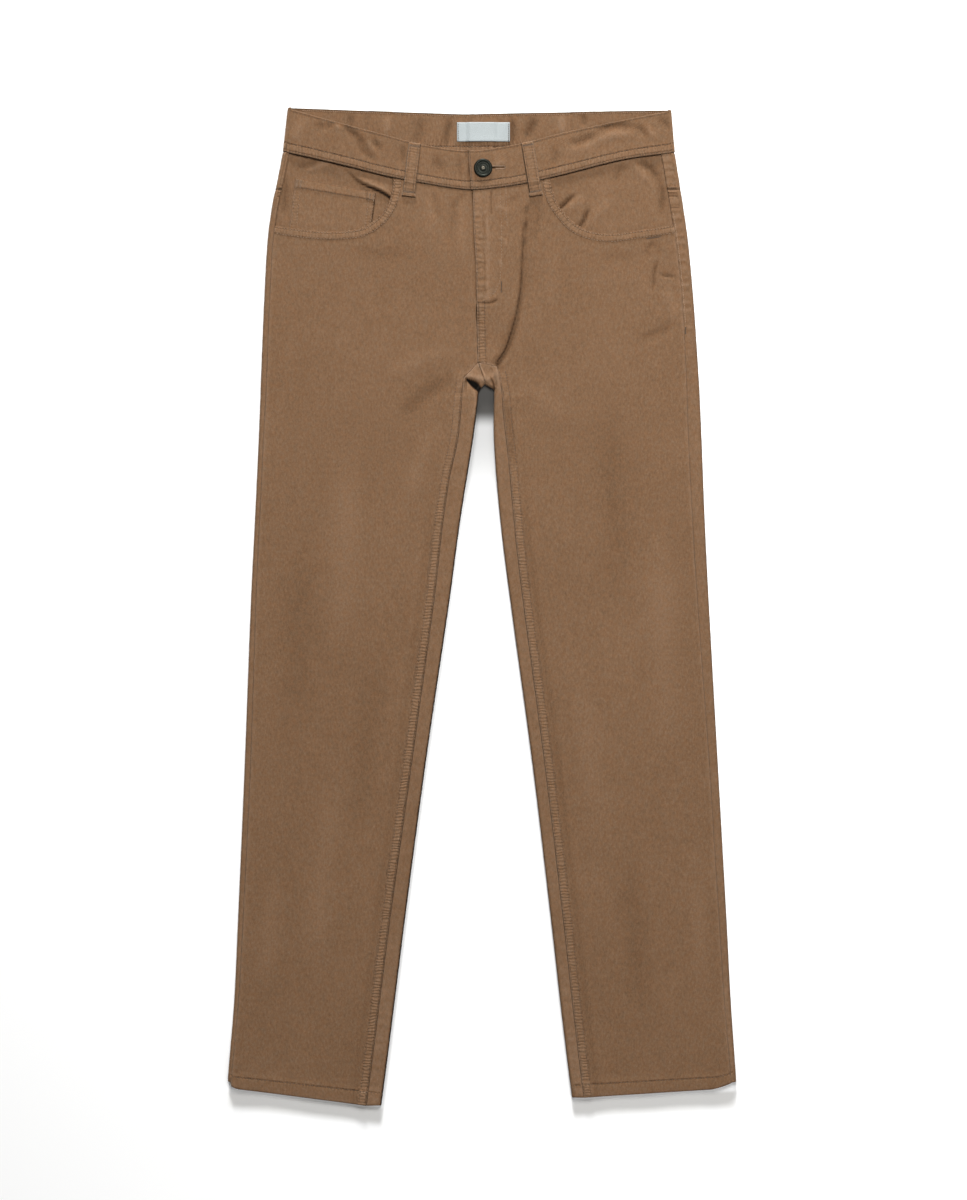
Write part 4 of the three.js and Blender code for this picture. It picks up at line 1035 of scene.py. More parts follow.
def seat_rows(side, columns):
    """The rows above the fork, where a back ends at the centre seam."""
    count = 56
    t = np.arange(1, count + 1) / count
    arch_top = ARCH["drop"] - LEG["roll"](ARCH["drop"]) / 2
    drops = lerp(SEAT_EDGE, YOKE["side"] + SEAM_GAP, t)
    middle, normal, tone = outer_fold(side, drops)
    end = joined(lerp(ARCH["x"], 0, t) + SIGN[side] * GAP / 2, lerp(arch_top, YOKE["centre"] + GAP, t))
    shares = np.append(FLOOR_SHARES, 1)
    plateau = smooth(0.1, 0.19, shares) * smooth(0.97, 0.9, shares)
    lift = LIFT["pocket"] * smooth(YOKE["side"], 108, drops)[:, None] * plateau
    floor, floor_normal = floor_between(foot_of(middle), end, shares, 0, lift)
    spare = columns - middle.shape[1] - floor.shape[1]
    parts = [middle, floor, np.repeat(floor[:, -1:], spare, axis=1)]
    normals = [normal, floor_normal, np.repeat(floor_normal[:, -1:], spare, axis=1)]
    blank = Relief((count, columns - middle.shape[1])).packed()
    return [np.concatenate(values, axis=1) for values in (parts, normals, [tone, blank])]


def skins(middle, normal, thickness):
    """Both skins of cloth round its middle. What lies on the table is held off it."""
    outer, inner = middle + normal * thickness / 2, middle - normal * thickness / 2
    down = np.clip(-normal[..., 2], 0, 1)
    outer = outer + joined(0, 0, np.maximum(0, SOLE - outer[..., 2]) * down)
    return outer, inner


def wrapped_grain(middle):
    """The cut's coordinates of cloth that goes round an edge: its real distance across."""
    steps = np.linalg.norm(np.diff(middle, axis=1), axis=-1)
    across = np.concatenate([np.zeros((len(middle), 1)), np.cumsum(steps, axis=1)], axis=1)
    return joined(across, y_of(0) - middle[..., 1])


def loop_lift(x):
    away = np.min([np.abs(x - at) for at in BACK_LOOPS.values()], axis=0)
    half = LOOP_WIDTH / 2 + 4.5
    return LIFT["loop"] * (1 - smooth(half, half + 5, away))


def make_yoke(side):
    sign = SIGN[side]
    t = np.linspace(0, 1, 16)
    top = BAND["back_bottom"](sign * 208) + GAP
    drops = lerp(top, YOKE["side"], t)
    seam_drops = np.maximum(drops, BAND["front_bottom"](seam_x("outer", side, drops)) + GAP)
    middle, normal, tone = outer_fold(side, drops, seam_drops)
    feet = foot_of(middle)
    xs = sign * np.array([190, 160, 126, 121, 99, 94, 50, 16, 11, GAP / 2])
    share = 1 - np.abs(xs / feet[-1, 0])
    x = np.broadcast_to(xs, (len(t), len(xs)))
    high = BAND["back_bottom"](xs) + GAP
    low = lerp(YOKE["side"], YOKE["centre"], share)
    drop = lerp(high, low, t[:, None])
    lift = loop_lift(x) * smooth(high + 20, high + 14, drop)
    floor = joined(x, y_of(drop), (CLOTH + SOLE) / 2 + lift)
    middle = np.concatenate([middle, floor], axis=1)
    normal = np.concatenate([normal, np.broadcast_to([0.0, 0, -1], floor.shape)], axis=1)
    relief = unpacked(np.concatenate([tone, Relief(floor.shape[:2]).packed()], axis=1))
    outer, inner = skins(middle, normal, CLOTH)
    make_sheet(f"yoke_{side}", outer, inner, wrapped_grain(middle), relief)


# The waistband: one strip all round

BAND_ACROSS = np.array([0, 0.02, 0.045, 0.075, 0.11, 0.15, 0.185, 0.21, 0.235, 0.27, 0.33, 0.4, 0.48,
                        0.56, 0.64, 0.72, 0.8, 0.87, 0.92, 0.95, 0.975, 0.99, 1])
BAND_DEPTH = 45.0
BAND_ROWS = (2.0, 9.6, BAND_DEPTH - 2.2)


def band_x(side, x, across):
    bottom, top = BAND_FOLD[side]
    same_side = np.asarray(x) * bottom > 0
    return np.where(same_side, x / bottom * lerp(bottom, top, across), x)


def over_end(across):
    """x of the waistband's upper end, which slants."""
    return BAND_END["over"] + BAND_END["slant"] * across


def band_front_place(side, x, across):
    at = band_x(side, x, across)
    if side == "left":
        at = at + BAND_END["slant"] * across * smooth(20, BAND_END["over"], x)
    return at, lerp(BAND["front_bottom"](at), BAND["front_top"](at), across)


def band_back_place(x, across):
    at = np.where(np.asarray(x) < 0, band_x("right", x, across), band_x("left", x, across))
    return at, lerp(BAND["back_bottom"](at), BAND["back_top"](at), across)


def band_relief(across, along, seed):
    """The sewn lower edge, the row above it and the top edge's row."""
    relief = Relief(across.shape)
    up = across * BAND_DEPTH
    down = BAND_DEPTH - up
    relief.fold_over(up, along, 9.6, 0.25, ((2.4, 1.1), (9.6, 1.9)), seed, 0.9, 0.8)
    relief.height += 0.12 * ripple(along, seed + 1, 9) * bell(up - 12, 6)
    groove = bell(down - 2.2, 1.1)
    relief.height += 0.14 * ripple(along, seed + 2, 7) * bell(down, 5) - 0.28 * groove
    # The top edge made lighter, unevenly, as from rubbing and light; painted shade on the top rim and in its
    # row's groove; a painted highlight along the folded lower edge.
    rubbed_and_lit = 0.15 + 0.3 * ripple(along, seed + 4, 47)
    relief.wear += rubbed_and_lit * bell(down - 0.9, 0.9) - 1.5 * bell(down, 0.35) - 0.6 * groove
    relief.wear += 0.6 * bell(up - 0.9, 0.8)
    relief.sewn = np.maximum(relief.sewn, 0.5 * bell(down - 2, 3))
    return relief


def band_front_face(side, x, across):
    """Place and height of the waistband's upper face in front, with its relief."""
    at, drop = band_front_place(side, x, across)
    relief = band_relief(np.broadcast_to(across, np.shape(at)), at, 3.0 + SIGN[side])
    crease = creases(f"band_{side}", at, drop)
    relief.height += crease
    # Creases painted darker in their troughs and lighter on their ridges: painted shade and highlight.
    relief.wear += 0.7 * np.clip(crease, -1.3, 1)
    relief.along[:] = at
    # Painted shadow beside the upper end's edge on the right, painted highlight on that edge on the left.
    if side == "right":
        relief.wear = relief.wear - 1.5 * bell(over_end(across) - at - 0.7, 1.1)
    else:
        relief.wear = relief.wear + 0.8 * bell(at - over_end(across), 1.1)
    return at, drop, band_height(side, x) + relief.height, relief


def band_back_relief(x, across):
    """Relief of the inner face that shows at the back: dents and the ribs of its sewn edge. The dents and
    ribs are painted darker in their dips and lighter on top, as painted shade and highlight, and painted
    shade runs along the top edge.
    """
    at, drop = band_back_place(x, across)
    relief = band_relief(np.broadcast_to(across, np.shape(at)), at, 9.0)
    crease = creases("band_back", at, drop)
    up = across * BAND_DEPTH
    ribs = ripple(at, 1.0, 4.6) * (bell(up - 8, 7) + bell(BAND_DEPTH - 3 - up, 2.5))
    relief.height += crease + 0.3 * ribs
    relief.wear += 0.8 * np.clip(crease, -1.3, 1) + 0.7 * ribs * bump(at / 70)
    relief.sewn = np.maximum(relief.sewn, 1.3 * bump((across * BAND_DEPTH - 11) / 9))
    relief.wear -= 2.0 * smooth(BAND_DEPTH - 1.5, BAND_DEPTH - 0.4, across * BAND_DEPTH)
    # Painted shadow: a dark line under the label.
    below_label = LABEL["drop"] + LABEL["height"] / 2 + 1
    relief.wear -= 1.8 * bell(drop - below_label, 1.1) * bump((at + 8) / 22)
    relief.along[:] = at
    return at, drop, relief


def band_curl(side, across):
    sign = SIGN[side]
    bottom, top = BAND_FOLD[side]
    radius = BAND_ROLL / 2
    reach = radius - BAND_CLOTH / 2
    angle = math.pi * (0.5 - np.arange(1, 15) / 15)[:, None]
    fold = lerp(bottom, top, across)[None]
    x = fold - sign * radius + sign * reach * np.cos(angle)
    drop = lerp(BAND["back_bottom"](fold), BAND["back_top"](fold), across)
    middle = joined(x, y_of(drop), radius + reach * np.sin(angle))
    normal = joined(sign * np.cos(angle), 0 * x, np.sin(angle))
    return middle, normal


def make_waistband():
    across = BAND_ACROSS[None]
    outer_parts, inner_parts, reliefs = [], [], []

    def front(side, xs):
        at, drop, top, relief = band_front_face(side, xs[:, None], across)
        at, drop = np.broadcast_arrays(at, drop)
        outer, inner = upright(at, drop, np.broadcast_to(top, at.shape), BAND_CLOTH)
        outer_parts.append(outer)
        inner_parts.append(inner)
        reliefs.append(relief)

    def curl(side, turned):
        middle, normal = band_curl(side, BAND_ACROSS)
        if turned:
            middle, normal = middle[::-1], normal[::-1]
        relief = band_relief(np.broadcast_to(across, middle.shape[:2]), middle[..., 0] * 2, 5.0)
        skin = middle + normal * (BAND_CLOTH / 2 + relief.height[..., None] * 0.5)
        skin[..., 2] = np.maximum(skin[..., 2], SOLE)
        outer_parts.append(skin)
        inner_parts.append(middle - normal * BAND_CLOTH / 2)
        reliefs.append(relief)

    right_end, left_end = BAND_FOLD["right"][0] + BAND_ROLL / 2, BAND_FOLD["left"][0] - BAND_ROLL / 2
    front("right", np.linspace(BAND_END["under"], right_end, 100))
    curl("right", False)
    xs = np.linspace(right_end, left_end, 170)[:, None]
    at, drop, relief = band_back_relief(xs, across)
    low = joined(at, y_of(drop), SOLE + loop_lift(xs))
    high = joined(at, y_of(drop), BAND_CLOTH + loop_lift(xs) + relief.height)
    outer_parts.append(low)
    inner_parts.append(high)
    reliefs.append(relief)
    curl("left", True)
    front("left", np.linspace(left_end, BAND_END["over"], 90))
    outer, inner = np.concatenate(outer_parts), np.concatenate(inner_parts)
    relief = Relief(outer.shape[:2])
    for key in RELIEF_VALUES:
        setattr(relief, key, np.concatenate([getattr(part, key) for part in reliefs]))
    middle = (outer + inner) / 2
    steps = np.linalg.norm(np.diff(middle, axis=0), axis=-1)
    along = np.concatenate([np.zeros((1, outer.shape[1])), np.cumsum(steps, axis=0)])
    uv = joined(along, np.broadcast_to(across * BAND_DEPTH, along.shape))
    piece = wall("waistband", outer, inner, uv, relief)
    cut_buttonhole(piece)
    piece.data.materials.append(cloth_material())
    declare(piece, "waistband", outer)


def cut_buttonhole(piece):
    """Cuts the buttonhole's slit and where it gapes by the shank, through the upper end alone."""
    low, high = band_height("left", 10) - BAND_CLOTH - 0.2, band_height("left", 10) + 3
    for start, end, width in (BUTTONHOLE["slit"], BUTTONHOLE["gape"]):
        bpy.ops.object.select_all(action="DESELECT")
        centre = np.array([(start + end) / 2, y_of(BUTTONHOLE["drop"] + width / 4), (low + high) / 2])
        bpy.ops.mesh.primitive_cube_add(size=1, location=centre * MM)
        cutter = bpy.context.object
        cutter.scale = ((end - start) * MM, width * MM, (high - low) * MM)
        bpy.ops.object.transform_apply(location=True, rotation=True, scale=True)
        bpy.context.view_layer.objects.active = piece
        cut = piece.modifiers.new("buttonhole", "BOOLEAN")
        cut.operation, cut.object, cut.solver = "DIFFERENCE", cutter, "EXACT"
        bpy.ops.object.modifier_apply(modifier=cut.name)
        bpy.data.objects.remove(cutter, do_unlink=True)


# Pockets and belt loops

POCKET_LINE = Line(smooth_line(POCKET_FOLD["path"]))


def facing_face(side, x, drop):
    """Height of the cloth inside a pocket's mouth, and its relief."""
    _, _, sunk = FACING[side]
    seam = seam_x("outer", side, drop)
    beyond = (x - seam) * SIGN[side] > 0
    depth = lerp(CLOTH + GAP, sunk, np.where(beyond, 0, smooth(0, 9, np.abs(x - seam))))
    relief = Relief(np.shape(x))
    crease = creases(f"pocket_facing_{side}", x, drop)
    relief.height += crease + 0.5 * undulation(x * 1.3, drop * 1.7)
    # Creases painted darker in their troughs and lighter on their ridges: painted shade and highlight.
    relief.wear += 0.75 * np.clip(crease, -2, 0.8)
    if side == "right":
        signed, along, _ = POCKET_LINE.near(x, drop, 60)
        share = np.clip(along / POCKET_LINE.length, 0, 1)
        fall = np.exp(-np.maximum(0, signed) / POCKET_FOLD["decay"])
        relief.height += POCKET_FOLD["height"] * smooth(0, 0.6, share) * smooth(-0.8, 1.2, signed) * fall
        # The pocket's fold: a crack lowered and given painted shadow, near black along its far part, and a
        # painted highlight on the raised side beside it.
        crack = bell(signed + 0.9, 0.6 + 0.8 * share) * smooth(0.0, 0.3, share)
        relief.height -= 1.2 * crack
        relief.wear -= (1.1 + 2.6 * smooth(0.3, 0.7, share)) * crack
        relief.wear += 0.4 * bell(signed - 2.2, 2) * smooth(0.3, 0.7, share)
    return top_height(side, x, drop) - depth, relief


def facing_under_front(side, x, drop):
    return ((x - MOUTH[side][0][0]) * SIGN[side] < 6) | (drop > 116)


def make_facing(side):
    inner, bottom, _ = FACING[side]
    sign = SIGN[side]
    u, t = np.meshgrid(np.linspace(0, 1, 74), np.linspace(0, 1, 50))
    top = BAND["front_bottom"](lerp(inner, seam_x("outer", side, 50), u)) + GAP
    drop = lerp(top, bottom, t)
    x = lerp(inner, seam_x("outer", side, drop) - sign * 0.1, u)
    level, relief = facing_face(side, x, drop)
    highest = top_height(side, x, drop) - CLOTH - GAP
    height = level + relief.height
    height = np.where(facing_under_front(side, x, drop), np.minimum(height, highest), height)
    seam_pull = bell(drop - top, 6)
    height = height + 0.2 * ripple(x, 4.0 + sign, 9) * seam_pull - 0.3 * bell(drop - top, 1.5)
    outer, under = upright(x, drop, height, CLOTH)
    make_sheet(f"pocket_facing_{side}", outer, under, joined(x, drop), relief)


def coin_place(u, t):
    (a, b), (c, d) = np.array(COIN["top"], float), np.array(COIN["bottom"], float)
    left = [lerp(a[k], c[k], t) for k in (0, 1)]
    right = [lerp(b[k], d[k], t) for k in (0, 1)]
    return lerp(left[0], right[0], u), lerp(left[1], right[1], u)


def coin_face(u, t):
    """Place, height and relief of the coin pocket's face."""
    x, drop = coin_place(u, t)
    level, under = facing_face("right", x, drop)
    width, depth = COIN["width"], COIN["depth"]
    relief = Relief(np.shape(x))
    relief.fold_over(t * depth, x, COIN["hem"], 0.3, ((COIN["hem"] - 1.2, 0.8),), 1.0, 0.3, 0.1)
    # Painted shade along the top edge.
    relief.wear -= 1.3 * bell(t * depth, 0.5)
    # The sides' folded edges: a painted highlight on the left, a painted shadow line on the right.
    relief.fold_over(u * width, drop, 7.5, 0.12, ((1.6, 0.3), (6.6, 0.2)), 2.0, 0.4, 0.3)
    relief.fold_over((1 - u) * width, drop, 7.5, 0.12, ((2.0, 0.3), (6.6, 0.2)), 3.0, 0.4, -2.2)
    for end in (u, 1 - u):
        tack = smooth(9.5, 8, end * width) * smooth(COIN["hem"] + 0.5, COIN["hem"] - 1, t * depth)
        relief.height += 0.3 * tack
        relief.sewn = np.maximum(relief.sewn, tack)
        relief.along = np.where(tack > 0.3, u * width, relief.along)
    sag = np.sin(math.pi * u) * smooth(0, 0.15, t)
    relief.height += 0.35 * sag
    return x, drop, level + np.minimum(under.height, 0.4) + GAP + PATCH_CLOTH + relief.height, relief


def make_coin_pocket():
    u, t = np.meshgrid(np.linspace(0, 1, 52), np.linspace(0, 1, 34))
    x, drop, height, relief = coin_face(u, t)
    highest = top_height("right", x, drop) - CLOTH - 0.1
    height = np.where(drop > 126, np.minimum(height, highest), height)
    outer, inner = upright(x, drop, height, PATCH_CLOTH)
    make_sheet("coin_pocket", outer, inner, joined(x, drop), relief)


def back_pocket_corner(side, u, t):
    """A place on a back pocket: u across from 0 to 1 and t down, with its pointed foot."""
    p = BACK_POCKET
    slope = (YOKE["centre"] - YOKE["side"]) / 220
    half = p["width"] / 2 - p["taper"] * t
    x = p["centre"] + lerp(-half, half, u)
    top = p["top"] - slope * (x - p["centre"])
    foot = p["height"] + p["point"] * (1 - np.abs(2 * u - 1))
    return SIGN[side] * x, top + foot * t


def make_back_pocket(side):
    u, t = np.meshgrid(np.linspace(0, 1, 25), np.linspace(0, 1, 22))
    x, drop = back_pocket_corner(side, u, t)
    low = joined(x, y_of(drop), SOLE)
    high = low + [0, 0, PATCH_CLOTH - SOLE]
    make_sheet(f"back_pocket_{side}", low, high, joined(x, drop))


def front_loop_place(name, u, t):
    """Place and height on a front belt loop's face: u from -1 to 1 across, t from 0 to 1 down."""
    side, top, bottom = FRONT_LOOPS[name]
    along = np.subtract(bottom, top)
    long = np.hypot(*along)
    across = (along[1] / long, -along[0] / long)
    half = LOOP_WIDTH / 2 * (1 + 0.12 * smooth(0.925, 0.945, t))
    x = lerp(top[0], bottom[0], t) + u * half * across[0]
    drop = lerp(top[1], bottom[1], t) + u * half * across[1]
    band = band_height(side, x)
    under = np.where(drop < BAND["front_bottom"](x) + 3, band, top_height(side, x, drop) + 0.1)
    base = np.maximum(under, band - 3 * t)
    height = base + GAP + LOOP_SLACK * np.sin(math.pi * np.clip(t, 0, 1)) + LOOP_CLOTH
    edge = 0.55 * smooth(0.8, 1, np.abs(u))
    ends = 0.3 * smooth(0.06, 0, t) + 0.2 * smooth(0.94, 1, t)
    tack = -0.25 * bell(t - 0.06, 0.02) - 0.3 * bell(t - 0.9, 0.02)
    wave = 0.12 * ripple(t * long, float(u.mean()) + 2, 7) * np.abs(u)
    return x, drop, height - edge - ends + tack + wave


def make_front_loop(name):
    u, t = np.meshgrid(np.concatenate([[-1, -0.93, -0.84], np.linspace(-0.7, 0.7, 9), [0.84, 0.93, 1]]),
                       np.concatenate([[0, 0.01, 0.02], np.linspace(0.04, 0.96, 44), [0.98, 0.99, 1]]))
    x, drop, height = front_loop_place(name, u, t)
    relief = Relief(x.shape)
    # Painted shade along the two rows of stitches.
    for row in (-0.62, 0.62):
        relief.wear -= 0.3 * bell(u - row, 0.16)
    lip = smooth(0.925, 0.945, t)
    # Made lighter just inside the edges, with painted shade on the sides themselves.
    rubbed_and_lit = 0.3 * bump((np.abs(u) - 0.8) / 0.12)
    relief.wear += (rubbed_and_lit - 2.3 * smooth(0.92, 1, np.abs(u)) + 0.25) * (1 - lip)
    relief.wear += 0.3 * ripple(t * 60, 1, 4)
    relief.sewn += 0.4
    relief.along = t * 58 + 1.6 * ripple(t * 58, 3, 19)
    # A painted highlight on the bottom lip, a painted shadow line just above it and painted shadow at the
    # very end.
    relief.wear += 0.5 * lip - 1.3 * bell(t - 0.92, 0.012) - 2.0 * smooth(0.985, 1, t)
    thick = LOOP_CLOTH + 0.6 * smooth(0.93, 0.97, t)
    outer, inner = upright(x, drop, height + 0.4 * smooth(0.9, 0.95, t), thick)
    uv = joined(u * LOOP_WIDTH / 2, t * 60)
    make_sheet(name, outer, inner, uv, relief)


def make_back_loop(name):
    half = LOOP_WIDTH / 2
    x, t = np.meshgrid(BACK_LOOPS[name] + np.linspace(-half, half, 9), np.linspace(0, 1, 30))
    drop = lerp(BAND["back_top"](x) + 1, BACK_LOOP_END, t)
    low = joined(x, y_of(drop), SOLE)
    make_sheet(name, low, low + [0, 0, LOOP_CLOTH - SOLE], joined(x, drop))


def make_label():
    centre, drop, width, height = (LABEL[key] for key in ("x", "drop", "width", "height"))
    u, v = np.meshgrid(np.linspace(-0.5, 0.5, 44), np.linspace(-0.5, 0.5, 20))
    at, down = centre + u * width, drop + v * height
    base = BAND_CLOTH + np.maximum(loop_lift(at), loop_lift(at * 0.9)) + GAP
    free_edge = smooth(0.1, 0.5, v) * (0.9 + 0.5 * np.sin(u * 9 + 1))
    wave = 0.12 * np.sin(u * 21 + v * 3) + 0.25 * free_edge * bump(u / 0.52)
    outer, inner = upright(at, down, base + LABEL_CLOTH + wave + 0.25, LABEL_CLOTH)
    relief = Relief(at.shape)
    for row in (-0.5, 0.5):
        relief.wear -= bell((u - row * 0.955) * width, 0.9)
    piece = wall("size_label", outer, inner, joined(at, down), relief, soften=0.2)
    piece.data.materials.append(label_material())
    declare(piece, "size_label", outer)


# Stitches: one is modelled, and copies of it follow each sewn line

def edit_faces(piece, chosen):
    """Opens a piece in edit mode with only the chosen faces selected."""
    bpy.ops.object.mode_set(mode="EDIT")
    bpy.ops.mesh.select_mode(type="FACE")
    bpy.ops.mesh.select_all(action="DESELECT")
    bpy.ops.object.mode_set(mode="OBJECT")
    for face in piece.data.polygons:
        face.select = chosen(face)
    bpy.ops.object.mode_set(mode="EDIT")


def model_stitch():
    """One stitch, lying along x with its ends dipped into the cloth. Returns points and faces."""
    sewing = bpy.context.scene.trouser_sizes
    radius, length = sewing.thread / 2, sewing.stitch
    bpy.ops.object.select_all(action="DESELECT")
    bpy.ops.mesh.primitive_cylinder_add(
        vertices=6, radius=radius, depth=length * 0.55, rotation=(0, math.pi / 2, 0))
    stitch = bpy.context.object
    bpy.ops.object.transform_apply(location=False, rotation=True, scale=False)
    mesh = stitch.data
    for sign in (-1, 1):
        edit_faces(stitch, lambda face: face.normal.x * sign > 0.9)
        bpy.ops.mesh.extrude_region_move(
            TRANSFORM_OT_translate={"value": (sign * length * 0.22, 0, -radius * 0.9)})
        bpy.ops.transform.resize(value=(1, 0.5, 0.5))
        bpy.ops.object.mode_set(mode="OBJECT")
    points = np.array([tuple(v.co) for v in mesh.vertices]) / MM
    faces = [tuple(face.vertices) for face in mesh.polygons]
    bpy.data.objects.remove(stitch, do_unlink=True)
    return points, faces


def frames(spots, ways, face, down=False):
    """Three directions at each place: along, across and away from the cloth."""
    reach = 1.0
    points = [face(*(spots + ways * k).T) for k in (-reach, reach)]
    along = joined(ways[:, 0], -ways[:, 1], (points[1] - points[0]) / (2 * reach))
    along /= np.linalg.norm(along, axis=1)[:, None]
    up = np.broadcast_to([0, 0, -1.0 if down else 1.0], along.shape)
    across = np.cross(up, along)
    across /= np.maximum(np.linalg.norm(across, axis=1), 1e-9)[:, None]
    return along, across, np.cross(along, across)


class Sewing:
    """Gathers stitches of many lines into one mesh."""

    def __init__(self, name, stitch):
        self.name, (self.points, self.faces) = name, stitch
        self.parts, self.shades = [], []

    def row(self, line, face, pitch=3.1, start=0.0, end=None, turned=False, down=False, scale=1.0,
            pale=0.0):
        """Stitches along a line, or across it when turned, as in a bar tack. Pale ones are painted lighter,
        as if lit; the others lean to the thread's painted shaded colour.
        """
        end = line.length if end is None else min(end, line.length)
        at = np.arange(start + pitch / 2, end, pitch)
        if not len(at):
            return
        spots, ways = line.at(at)
        sway = 0.12 * np.sin(at * 1.7) if not turned else 0
        spots = spots + joined(ways[:, 1], -ways[:, 0]) * np.reshape(sway, (-1, 1))
        height = face(*spots.T)
        along, across, up = frames(spots, ways, face, down)
        if turned:
            along, across = across, -along
        middle = joined(spots[:, 0], y_of(spots[:, 1]), height)
        size = self.points * [scale, 1, 1]
        placed = middle[:, None]
        for k, way in enumerate((along, across, up)):
            placed = placed + size[None, :, k:k + 1] * way[:, None]
        self.parts.append(placed)
        self.shades.append(np.full(placed.shape[:2], pale))

    def finish(self):
        """Makes the mesh of all the stitches."""
        placed = np.concatenate(self.parts)
        count, each = placed.shape[:2]
        faces = [tuple(i * each + k for k in face) for i in range(count) for face in self.faces]
        mesh = bpy.data.meshes.new(self.name)
        mesh.from_pydata((placed.reshape(-1, 3) * MM).tolist(), [], faces)
        shade = mesh.attributes.new("pale", "FLOAT", "POINT")
        shade.data.foreach_set("value", np.concatenate(self.shades).ravel().astype(np.float32))
        mesh.shade_smooth()
        mesh.update()
        piece = bpy.data.objects.new(self.name, mesh)
        bpy.context.collection.objects.link(piece)
        piece.data.materials.append(thread_material())
        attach(piece, "root")


THREAD_SINK = -0.05


def sew_front(side, stitch):
    sewing = Sewing(f"stitches_front_{side}", stitch)

    def face(x, drop):
        return front_face(side, x, drop) + THREAD_SINK

    inward = SIGN[side]
    _, saddle_drop, _ = SADDLE[side]
    drops = np.arange(saddle_drop + 4, HEM[side]["inner"] - 2, 4)
    for offset in (1.6, 8.0):
        line = Line(joined(inner_x(side, drops) + inward * offset, drops))
        sewing.row(line, face)
    for offset in (1.6, 8.0):
        mouth = MOUTH_LINE[side].beside(offset * mouth_side(side))
        shown = mouth.points[mouth_shown(side, mouth.points)]
        sewing.row(Line(shown), face, pale=0.55)
    xs = np.linspace(seam_x("outer", side, 1030), seam_x("inner", side, 1045), 50)
    sewing.row(Line(joined(xs, hem_drop(side, xs) - HEM_DEPTH + 0.4)), face, pitch=3.4)
    if side == "right":
        sewing.row(Line([(-129, 1045.6), (-121.5, 1046.6)]), face, pitch=1.7, scale=0.6, pale=1.6)
    if side == "left":
        sewing.row(Line(FLY_STITCH), face, pale=0.55)
        sewing.row(Line(FLY_STITCH + [6.0, 0]), face, end=42, pale=0.5)
        drops = np.arange(FLY_END + 4, CROTCH[1] - 2, 3)
        for offset in (1.5, 8.0):
            sewing.row(Line(joined(CENTRE["left"](drops) + offset, drops)), face)
        drops = np.arange(90, FLY_END - 6, 3)
        sewing.row(Line(joined(CENTRE["left"](drops) + 1.4, drops)), face)
        sewing.row(Line([(20.8, 185), (20.4, 197)]), face, pitch=0.6, turned=True, scale=0.7)
        sewing.row(Line([(174.5, 139.6), (190, 137.2)]), face, pitch=0.6, turned=True, scale=0.8, pale=-0.3)
    sewing.finish()


def mouth_shown(side, points):
    x, drop = points.T
    sign = SIGN[side]
    return (drop > BAND["front_bottom"](x) + 1.5) & (x * sign < seam_x("outer", side, drop) * sign - 1)


def sew_waistband(stitch):
    sewing = Sewing("stitches_waistband", stitch)
    for side, first, last in (("right", -14, -205), ("left", 200, -10)):
        for row in BAND_ROWS:
            across = row / BAND_DEPTH
            xs = np.linspace(first, last, 90)
            at, drop, _, _ = band_front_face(side, xs, np.full(xs.shape, across))

            def face(x, _, side=side, across=across):
                return band_front_face(side, x, np.full(np.shape(x), across))[2] + THREAD_SINK

            sewing.row(Line(joined(at, drop)), face)
    for row, pale in ((BAND_ROWS[1], 0.3), (BAND_ROWS[2], 1.6)):
        across = row / BAND_DEPTH
        xs = np.linspace(-196, 192, 120)
        at, drop = band_back_place(xs, np.full(xs.shape, across))

        def inside(x, _, across=across):
            relief = band_back_relief(x, np.full(np.shape(x), across))[2]
            raised = 0.3 if across > 0.9 else THREAD_SINK
            return BAND_CLOTH + loop_lift(x) + relief.height + raised

        teeth = row == BAND_ROWS[2]
        sewing.row(Line(joined(at, drop)), inside, pale=pale,
                   pitch=2.3 if teeth else 3.1, scale=0.55 if teeth else 1.0)

    def end_face(x, drop):
        low, high = BAND["front_bottom"](x), BAND["front_top"](x)
        return band_front_face("left", x, (low - drop) / (low - high))[2] + THREAD_SINK

    across_ends = np.linspace(0.05, 0.95, 20)
    x = over_end(across_ends) + 1.8
    drops = lerp(BAND["front_bottom"](x), BAND["front_top"](x), across_ends)
    sewing.row(Line(joined(x, drops)), end_face)
    sew_buttonhole(sewing, end_face)
    sewing.finish()


def sew_buttonhole(sewing, face):
    """Close satin stitches round the slit."""
    start, end, drop, reach = (BUTTONHOLE[key] for key in ("start", "end", "drop", "reach"))
    angle = np.linspace(-math.pi / 2, math.pi / 2, 9)
    turn = joined(end + reach * np.cos(angle), drop + reach * np.sin(angle))
    ring = np.vstack([[(start, drop - reach)], turn, [(BUTTONHOLE["gape"][1], drop + reach)]])
    sewing.row(Line(ring), face, pitch=0.55, turned=True, scale=0.6, pale=0.35)


def sew_pockets(stitch):
    sewing = Sewing("stitches_coin_pocket", stitch)

    def face(x, drop):
        (a, b), (c, _) = COIN["top"], COIN["bottom"]
        t = np.clip((drop - lerp(a[1], b[1], (x - a[0]) / (b[0] - a[0]))) / 58, 0, 1)
        u = np.clip((x - lerp(a[0], c[0], t)) / (b[0] - a[0]), 0, 1)
        return coin_face(u, t)[2] + THREAD_SINK

    width = COIN["width"]
    for offset in (1.6, 6.6):
        for u in (offset / width, 1 - offset / width):
            t = np.linspace(0.03, 0.9, 20)
            sewing.row(Line(joined(*coin_place(u, t))), face, end=46, pale=0.5)
    u = np.linspace(0.02, 0.98, 30)
    sewing.row(Line(joined(*coin_place(u, (COIN["hem"] - 1.2) / COIN["depth"]))), face)
    for u in (2.5 / width, 6 / width, 1 - 6 / width, 1 - 2.5 / width):
        t = np.array([0.03, 0.15])
        sewing.row(Line(joined(*coin_place(u, t))), face, pitch=0.9, turned=True, pale=0.35)
    sewing.finish()


